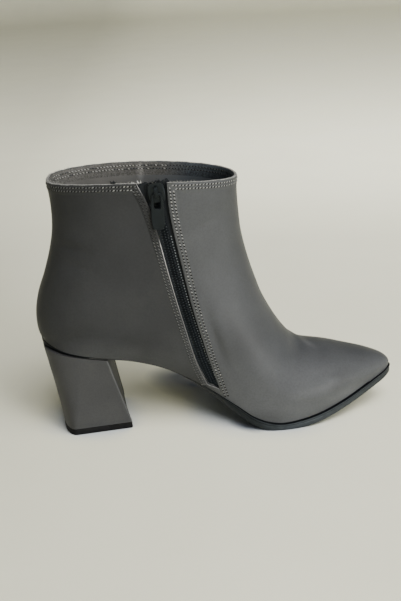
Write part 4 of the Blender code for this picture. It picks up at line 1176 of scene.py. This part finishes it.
# Loose fibres on the raw rim, then tufts of tape threads and lint: place along the boot, count, greatest
# length, thickness, look
FIBRE_RINGS = ((0.0, 1.0), (0.5, 0.8), (1.0, 0.3))
TUFTS = (
    (-33.0, 16, 4.4, 0.16, 1),
    (-38.5, 9, 3.0, 0.16, 1),
    (-62.3, 14, 2.6, 0.34, 1),
    (-50.0, 5, 1.2, 0.20, 2),
    (-45.8, 6, 2.0, 0.19, 2),
)
UP = np.array((0.0, 0.0, 1.0))


def build_fibres():
    """Fibres on the rim, most of them at its back and beside the slot, then the tufts."""
    rim, out = (block[:, 0] for block in columns_below_rim((-0.1,)))
    verts, faces, index = [], [], []

    def fibre(start, way, length, thick, look):
        side = unit(np.cross(way, RNG.normal(size=3)))
        other = unit(np.cross(way, side))
        curl = side * RNG.normal(0.0, 0.25) * length
        rings = [circle(start + way * length * share + curl * share ** 2, side * thick * size,
                        other * thick * size, 4) for share, size in FIBRE_RINGS]
        index.extend([look] * tube(verts, faces, rings))

    x, y = rim[:, 0], rim[:, 1]
    back_far = np.where((x < -28.0) & (y > -12.0))[0]
    back_end = np.where(x < -94.0)[0]
    corners = np.where((y < 0) & (np.abs(x + 36.0) < 26.0) & (np.abs(x + 38.0) > 10.5))[0]
    groups = ((back_far, 190, 1.9), (back_end, 90, 2.3), (corners, 110, 1.7), (np.arange(len(rim)), 170, 0.9))
    for group, count, longest in groups:
        for k in RNG.choice(group, count):
            way = unit(UP + out[k] * RNG.normal(0.1, 0.5) + RNG.normal(0.0, 0.35, 3))
            start = rim[k] - out[k] * RNG.uniform(0.1, 1.8) - UP * 0.1
            fibre(start, way, RNG.uniform(0.35, 1.0) * longest, RNG.uniform(0.05, 0.10), 0)
    for place, count, longest, thick, look in TUFTS:
        on_rim = place < -45.0
        for _ in range(count):
            spot = np.array((place + RNG.normal(0.0, 1.1), float(rim_height(place)) - 1.2))
            start, normal = medial(spot, RNG.uniform(-1.9, -0.6) if on_rim else -2.6)
            way = unit(UP + normal * RNG.normal(0.0, 0.4) + RNG.normal(0.0, 0.5, 3))
            lift = UP * (1.25 if on_rim else 0.0)
            fibre(start + lift, way, RNG.uniform(0.5, 1.0) * longest, thick * RNG.uniform(0.6, 1.3), look)
    piece = add_mesh("rim_fibres", verts, faces, (FIBRE, TAPE, LINT), index, 80.0, mend=False)
    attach(piece, "boot")


build_fibres()

# Zip: the tape's face under the skin, its two ridges by share of its half width, its frayed top; the coil's
# wire, how far a turn reaches over to either side, its height and twist
TAPE_FACE = -WALL - GAP - 0.2
TAPE_THICK = 0.75
RIDGE_TALL = 0.14
RIDGE_SHARE = 0.42
RIDGE_BREADTH = 0.06
FRAYED_ROWS = 3
FRAY = 0.8
COIL_PITCH = 0.8
COIL_REACH = 2.45
COIL_SPAN = 3.2
COIL_WIRE = 0.32
COIL_WIRE_END = 0.24
COIL_BASE = 0.42
COIL_RISE = 0.8
COIL_TWIST = 0.18
SLIDER_EDGE = 0.16
SLIDER_EDGE_ANGLE = 38.0

# Dotted rows on the tape: distance from the middle, rise over the tape, thread, first step of the row
TAPE_ROWS = ((3.0, 0.30, 0, 74), (1.2, 1.35, 1, 50), (-0.6, 1.40, 1, 48), (-3.0, 0.2, 1, 51))


def tape_halves(heights, share):
    ends = np.minimum(heights - TAPE_END, (TAPE_START - heights) * 2)
    ease = np.minimum(ends / TAPE_TAPER, 1.0)
    spare = TAPE_SPARE_END + (TAPE_SPARE - TAPE_SPARE_END) * ease
    back, front = (zip_at(heights, side)[:, None] for side in ("back", "front"))
    return np.where(share < 0, back, front) + spare[:, None]


def build_tape():
    """Cloth tape behind the slot, frayed at its top."""
    heights = np.linspace(TAPE_START, TAPE_END, 150)
    shares = np.linspace(-1, 1, 25)
    ridge = RIDGE_TALL * np.exp(-((np.abs(shares) - RIDGE_SHARE) / RIDGE_BREADTH) ** 2)
    blocks = zip_ribbon(heights, shares, TAPE_FACE + ridge, TAPE_FACE - TAPE_THICK, tape_halves)
    for n in range(FRAYED_ROWS):
        fray = 0.5 * np.sin(shares * (9.0 + 4 * n) + n) + 0.35 * np.sin(shares * 23.0 + 2 * n)
        for block in blocks:
            block[n, :, 2] += fray * (1 - n / FRAYED_ROWS) * FRAY
    tape = add_stack("zip_tape_cloth", blocks, TAPE, 40.0)
    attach(tape, "boot")
    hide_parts("zip_tape")


def build_coil():
    """Turns of the closed coil, left and right by turns."""
    heights = np.linspace(COIL_START, SLOT_END + 1.6, 400)
    middle, normals = medial(zip_flat(heights, 0.0), np.full(len(heights), TAPE_FACE))
    walk = walked(middle)
    verts, faces = [], []
    for n in range(int(walk[-1] / COIL_PITCH)):
        s = (n + 0.5) * COIL_PITCH
        centre = along_line(s, walk, middle)
        normal = unit(along_line(s, walk, normals))
        along = unit(along_line(s + 0.5, walk, middle) - centre)
        hand = 1 if n % 2 else -1
        side = np.cross(normal, along) * hand
        rings = []
        for share in np.linspace(0, 1, 7):
            rise = COIL_BASE + COIL_RISE * math.sin(math.pi * (share * 0.9 + 0.08)) ** 0.7
            spot = centre + side * (COIL_REACH - COIL_SPAN * share) + normal * rise
            size = COIL_WIRE if share < 1 else COIL_WIRE_END
            twist = along * (COIL_TWIST * hand * (share - 0.5))
            rings.append(circle(spot + twist, along * size, normal * size))
        tube(verts, faces, rings)
    coil = add_mesh("zip_coil_turns", verts, faces, (NYLON,), sharp=60.0)
    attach(coil, "boot")
    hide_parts("zip_coil")


def build_tape_rows():
    """Dotted rows that sew the coil to the tape."""
    rows = Stitches()
    heights = np.linspace(COIL_START - 1.0, SLOT_END + 3.0, 300)
    for beyond, rise, look, first in TAPE_ROWS:
        flat = zip_flat(heights[first:], math.copysign(ON_MIDDLE, beyond), abs(beyond))
        points, facing = medial(flat, np.full(len(flat), TAPE_FACE + rise))
        rows.row(points, facing, lambda point, look=look: (1.0, look, look), pitch=1.95, length=0.85,
                 wide=0.34, tall=0.24, lean=0.1, holes=0.0)
    rows.finish("zip_tape_stitches", (TAPE_THREAD, TAPE_THREAD_DIM), "zip_tape")


build_tape()
build_coil()
build_tape_rows()

# The slider and its pull tab keep their solids, in black enamel with softened edges
for name in ("zip_slider", "zip_pull_tab"):
    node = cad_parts[name]
    for place in node.material_slots:
        place.material = ENAMEL
    edge = node.modifiers.new("edge", "BEVEL")
    edge.width = SLIDER_EDGE * MM
    edge.segments = 2
    edge.limit_method = "ANGLE"
    edge.angle_limit = math.radians(SLIDER_EDGE_ANGLE)

# Sole, sock and heel. The sole's edge from its top: inset, share of the thickness, share of the bevel
SOLE_PROFILE = ((0.34, 0.0, 0.0), (0.05, 0.03, 0.0), (0.0, 0.08, 0.0), (0.04, 0.16, 0.03),
                (0.50, 0.18, 0.06), (0.50, 0.215, 0.1), (0.34, 0.24, 0.15), (0.30, 0.50, 0.4),
                (0.36, 0.80, 0.75), (0.55, 0.92, 0.9), (1.0, 1.0, 1.0))
# Levels of its edge that are lighter, and from where along the boot; the other levels, and all the edge
# behind that place, are painted shade. Levels covered like the heel, and where
SOLE_LIGHT = (0, 1, 2, 6, 7, 8)
SOLE_LIGHT_FROM = -20.0
SOLE_COVERED = 4
SOLE_COVER_BACK = -88.0
SOLE_COVER_FRONT = -36.0
BEVEL_X = (-40.0, -14.0, 6.0)
BEVEL_SHARES = (1.0, 0.8, 0.4)
# The underside is lower than the solid's ahead of the waist: by how much, where, over what run
WAIST_DROP = 1.3
WAIST_X = 11.0
WAIST_RUN = 13.0
# The black edge at the toe, partly painted shade of the gap over the ledge: its height by place along the
# boot, and its section
TOE_EDGE_X = (8.0, 30.0, 60.0, 100.0, 122.0)
TOE_EDGE_TALL = (0.1, 0.35, 0.7, 1.15, 1.7)
TOE_EDGE_SHARES = np.array((0.0, 0.5, 0.9, 1.0))
TOE_EDGE_OUTS = np.array((0.08, 0.10, 0.08, -0.05))
# The heel's corners at the breast, their shares across, and the lift's levels: inset and height
HEEL_CORNER = 1.0
HEEL_WIDTH = 57.0
HEEL_INSET = 0.25
DARK_CORNER_FROM = 0.62
CORNER_SHARES = np.array((0.0, 0.0012, 0.0045, 0.0095, 0.018))
LIFT_LEVELS = ((0.35, LIFT_THICK), (0.15, LIFT_THICK - 0.2), (0.1, 0.9), (0.18, 0.35), (0.5, 0.0))


def lifted(plan, z):
    """Points of a plan at their heights."""
    return np.concatenate((plan, np.broadcast_to(z, plan.shape[:2])[:, :, None]), axis=2)


def sole_level(grow, height, count, across=12):
    medial_line, lateral_line = foot_outline(grow, count)
    share = np.linspace(0, 1, across + 1)[None, :, None]
    plan = medial_line[:, None, :] * (1 - share) + lateral_line[:, None, :] * share
    return lifted(plan, height(plan[:, :, 0]))


def sole_skin(level, x):
    """Material of a face of the sole: behind the waist its edge is covered like the heel."""
    if level > len(SOLE_PROFILE) - 2:
        return 2
    if level >= SOLE_COVERED and SOLE_COVER_BACK < x < SOLE_COVER_FRONT:
        return 3
    # faces off these levels, and all behind SOLE_LIGHT_FROM, take the sole's painted shade
    return 1 if level in SOLE_LIGHT and x >= SOLE_LIGHT_FROM else 0


def build_sole():
    """Outsole with a grooved edge, its waist cut back underneath."""
    def under(x):
        low = sole_bottom(x)
        return np.maximum(low - WAIST_DROP * np.exp(-((x - WAIST_X) / WAIST_RUN) ** 2), np.minimum(low, 0.05))

    def level(inset, share, cut):
        def grow(x):
            bevel = np.interp(x, *SOLE_BEVEL) * np.interp(x, BEVEL_X, BEVEL_SHARES)
            return sole_ledge(x) - cut * bevel - inset

        return sole_level(grow, lambda x: sole_top(x) + (under(x) - sole_top(x)) * share, 170)

    verts, faces, level_of = stack([level(*row) for row in SOLE_PROFILE])
    index = [sole_skin(n, np.mean([verts[i][0] for i in f])) for n, f in zip(level_of, faces)]
    sole = add_mesh("sole_body", verts, faces, (SOLE_IN_SHADE, SOLE_SIDE, SOLE_UNDER, HEEL_SKIN), index)
    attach(sole, "boot")
    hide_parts("outsole")


def build_toe_edge():
    """Black edge of the upper above the sole's ledge, tallest at the toe tip: the upper's dark lower edge and
    painted shade of the gap over the ledge.
    """
    ahead = np.where(SKIN[INDEX[:FOOT + 1, 0], 0] > TOE_EDGE_X[0])[0]
    verts, faces = [], []
    for side in (0, 1):
        start = len(verts)
        for r in ahead:
            ids = INDEX[r, CUTS:][::-1] if side else INDEX[r, :CUTS + 1]
            line = SKIN[ids]
            walk = walked(line)
            tall = np.interp(line[0, 0], TOE_EDGE_X, TOE_EDGE_TALL)
            spots = np.minimum(tall * TOE_EDGE_SHARES, walk[-1] * 0.9)
            facing = unit(along_line(spots, walk, NORMALS[ids]))
            verts.extend(along_line(spots, walk, line) + facing * TOE_EDGE_OUTS[:, None])
        faces.extend(grid_faces(start, len(ahead), len(TOE_EDGE_SHARES), side == 1))
    edge = add_mesh("toe_edge", verts, faces, (SOLE_IN_SHADE,), sharp=60.0, mend=False)
    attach(edge, "boot")


def build_sock():
    top = HALF_GAP + INSOLE_THICK
    levels = [sole_level(lambda x: -INSOLE_INSET - inset + 0.0 * x, lambda x: feather_z(x) + up, 120)
              for inset, up in ((0.5, top), (0.0, top - 0.4), (0.0, HALF_GAP))]
    sock = add_stack("sock_lining", levels, SOCK)
    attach(sock, "boot")
    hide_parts("insole")


def heel_plan(drop, inset=0.0, cuts=56):
    """Plan of the heel at a level, stations from back to breast and points across, front corners rounded."""
    values = np.array(HEEL_LEVELS)
    row = {name: np.interp(drop, values[:, 0], values[:, c]) for c, name in enumerate(HEEL_COLUMNS)}
    across = np.concatenate((CORNER_SHARES, np.linspace(0.06, 0.94, 19), 1 - CORNER_SHARES[::-1]))
    inward = np.maximum(HEEL_CORNER - HEEL_WIDTH * np.minimum(across, 1 - across), 0.0)
    stand = row["breast"] * 4 * across * (1 - across) - row["skew"] * across
    step = np.arange(cuts + 1) / cuts
    along = 0.55 * (1 - np.cos(step * math.pi / 2)) + 0.45 * step ** 2
    bend = np.minimum(along / row["bend"], 1.0)
    wide = np.maximum(1 - (1 - bend) ** row["square"], 0.0) ** (1 / row["square"])
    lose = np.maximum(along - row["bend"], 0.0) / (1 - row["bend"])
    inner = -(row["medial"] - inset - lose * row["fall_medial"]) * wide
    outer = (row["lateral"] - inset - lose * row["fall_lateral"]) * wide
    length = row["front"] - row["back"] - 2 * inset
    x = row["back"] + inset + length * along[:, None] + stand * along[:, None] ** 2
    x[-1] -= HEEL_CORNER - np.sqrt(HEEL_CORNER ** 2 - inward ** 2)
    y = inner[:, None] + (outer - inner)[:, None] * across
    return np.stack((x, y), axis=-1)


def build_heel():
    """Heel block: leather cover with a pale front edge, a breast darkened with painted shade and a darker far
    corner.
    """
    seat = sole_bottom(heel_plan(0.0)[:, :, 0]) - GAP
    levels = []
    for drop in np.linspace(0, 1, 26):
        plan = heel_plan(drop, HEEL_INSET if drop in (0.0, 1.0) else 0.0)
        levels.append(lifted(plan, seat * (1 - drop) + (LIFT_THICK + GAP) * drop))
    verts, faces, _ = stack(levels)
    rows, cols = levels[0].shape[:2]
    ring = len(rim_of(rows, cols))
    caps = len(faces) - ring * (len(levels) - 1)

    def skin(n):
        turn = (n - caps) % ring - rows
        if n < caps:
            return 0
        if abs(turn) <= 1:
            return 1
        if cols * DARK_CORNER_FROM < turn < cols:
            return 3
        return 2 if 1 < turn < cols - 3 else 0

    skins = (HEEL_SKIN, HEEL_EDGE, HEEL_BREAST_SHADE, BLACK_EDGE)
    heel = add_mesh("heel_cover", verts, faces, skins, [skin(n) for n in range(len(faces))], 40.0)
    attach(heel, "boot")
    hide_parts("heel")


def build_lift():
    levels = [lifted(heel_plan(1.0, inset), z) for inset, z in LIFT_LEVELS]
    lift = add_stack("heel_lift", levels, LIFT_RUBBER, 45.0)
    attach(lift, "boot")
    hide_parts("heel_top_piece")


build_sole()
build_toe_edge()
build_sock()
build_heel()
build_lift()
bpy.data.objects.remove(cutter, do_unlink=True)

# Floor: painted light along and across it, and painted shadow under the waist
FLOOR_PAINTED_LIGHT = (
    ("X", 1.6, 0.5, (0.1, 0.74), (0.34, 0.90), (0.5, 0.97), (0.9, 1.04)),
    ("Y", 0.8, 0.1, (0.14, 1.0), (0.26, 0.93), (0.42, 0.86), (0.62, 0.98), (0.9, 1.06)),
)
FLOOR_SHADE = (
    ((-17.0, 40.0, 0.0), (50.0, 25.0, 20.0), (0.0, 0.0, -47.0), (0.19, 0.21, 0.34)),
    ((16.0, -34.0, 0.0), (16.0, 7.0, 20.0), (0.0, 0.0, -45.0), (0.27, 0.28, 0.34)),
    ((-28.0, 60.0, 0.0), (28.0, 25.0, 20.0), LEVEL, (0.27, 0.29, 0.35)),
)
# The floor sheet in metres: half size, where it begins to rise, how fast and how far
SHEET_HALF = 5.4
SHEET_FLAT = 4.3
SHEET_RISE = 1.3
SHEET_TOP = 3.2


def paper(name):
    """Pale paper with painted light along and across it, painted shadow under the waist, and a soft painted
    contact shadow where the boot stands close behind the toe.
    """
    look = Look(name, 0.8, specular=0.15)
    tone = look.ramp(look.noise(9.0, 4.0, 0.6), (0.3, (0.92, 0.91, 0.725)), (0.7, (0.95, 0.94, 0.755)))
    near = look.node("ShaderNodeAmbientOcclusion", Distance=0.035)
    near.samples = 8
    shade = look.ramp(near.outputs["AO"], (0.2, (0.17, 0.20, 0.30)), (0.5, (0.64, 0.69, 0.90)), (0.8, 1.0))
    behind_toe = look.ramp(look.share("X", 5.0, 0.3), (0.55, 1.0), (0.66, 0.3), (0.8, 0.0))
    tone = look.mix(behind_toe, look.toned(tone, FLOOR_SHADE, FLOOR_PAINTED_LIGHT), shade, "MULTIPLY")
    return look.finish(tone, look.bump(look.noise(36.0, 3.0), 0.02, 0.0005))


def build_stage():
    steps = np.linspace(-SHEET_HALF, SHEET_HALF, 37)
    verts = [(x, y, min(SHEET_RISE * max(math.hypot(x, y) - SHEET_FLAT, 0.0) ** 2, SHEET_TOP))
             for y in steps for x in steps]
    mesh = bpy.data.meshes.new("floor_sheet")
    mesh.from_pydata(verts, [], grid_faces(0, len(steps), len(steps)))
    mesh.materials.append(paper("paper_floor"))
    mesh.polygons.foreach_set("use_smooth", [True] * len(mesh.polygons))
    floor = bpy.data.objects.new("floor_sheet", mesh)
    bpy.context.scene.collection.objects.link(floor)


# Soft lights far round the boot: name, turn from the toe's side, height angle, width, height, power
LIGHTS = (
    ("window_low", -50.0, 13.0, 1.4, 1.0, 149.0),
    ("window_sill", -42.0, 3.0, 1.4, 0.5, 43.0),
    ("room_low", -110.0, 3.0, 1.4, 0.5, 24.0),
    ("window_high", -30.0, 55.0, 2.0, 1.8, 61.0),
    ("room_high", -75.0, 55.0, 2.0, 1.8, 86.0),
    ("back_fill", -162.0, 14.0, 1.2, 1.2, 12.0),
    ("side_fill", 100.0, 40.0, 2.0, 1.8, 5.0),
    ("ceiling", -60.0, 72.0, 2.2, 2.2, 50.0),
)
LIGHT_DISTANCE = 4.0
LIGHT_AIM = Vector((0.0, 0.0, 0.08))
LIGHT_COLOUR = (1.0, 0.99, 0.97)

# Camera: turn from the medial side, height angle and roll in degrees, target and distance in design
# millimetres, focal length and the photo's height in pixels
CAMERA_TURN = -2.0
CAMERA_RISE = 20.0
CAMERA_ROLL = 3.0
CAMERA_TARGET = np.array((-9.49, 8.82, 80.0))
CAMERA_DISTANCE = 700.0
FOCAL_PIXELS = 985.915
PHOTO_PIXELS = 601.0
SENSOR = 36.0


def direction(turn, rise):
    """Unit vector by turn from the toe's side and height angle, in degrees."""
    turn, rise = math.radians(turn), math.radians(rise)
    return Vector((math.cos(turn) * math.cos(rise), math.sin(turn) * math.cos(rise), math.sin(rise)))


def area_light(name, place, aim, size, power):
    light = bpy.data.lights.new(name, "AREA")
    light.shape = "RECTANGLE"
    light.size, light.size_y = size
    light.energy = power
    light.color = LIGHT_COLOUR
    obj = bpy.data.objects.new(name, light)
    obj.location = place
    obj.rotation_euler = (aim - place).to_track_quat("-Z", "Y").to_euler()
    obj.visible_camera = False
    bpy.context.scene.collection.objects.link(obj)


def build_light():
    world = bpy.data.worlds.new("studio")
    bpy.context.scene.world = world
    world.use_nodes = True
    sky = world.node_tree.nodes["Background"]
    sky.inputs["Color"].default_value = (0.97, 0.99, 1.0, 1.0)
    sky.inputs["Strength"].default_value = 0.03
    for name, turn, rise, wide, tall, power in LIGHTS:
        area_light(name, LIGHT_AIM + direction(turn, rise) * LIGHT_DISTANCE, LIGHT_AIM, (wide, tall), power)
    area_light("backdrop", Vector((0.35, 0.55, 0.8)), Vector((0.5, 1.8, 0.0)), (1.0, 0.4), 9.0)


def build_camera():
    """The photo's view, with its roll."""
    back = np.array(direction(CAMERA_TURN - 90.0, CAMERA_RISE))
    roll = math.radians(CAMERA_ROLL)
    right = unit(np.cross(-back, UP))
    up = np.cross(right, -back)
    turned_right = right * math.cos(roll) - up * math.sin(roll)
    turned_up = up * math.cos(roll) + right * math.sin(roll)
    place = (CAMERA_TARGET + back * CAMERA_DISTANCE + SHIFT) * MM
    camera = bpy.data.objects.new("camera", bpy.data.cameras.new("camera"))
    camera.data.lens = FOCAL_PIXELS * SENSOR / PHOTO_PIXELS
    camera.data.sensor_width = SENSOR
    camera.data.clip_start = 0.01
    columns = np.column_stack((turned_right, turned_up, back, place))
    camera.matrix_world = Matrix((*columns.tolist(), (0, 0, 0, 1)))
    bpy.context.scene.collection.objects.link(camera)
    bpy.context.scene.camera = camera


build_stage()
build_light()
build_camera()
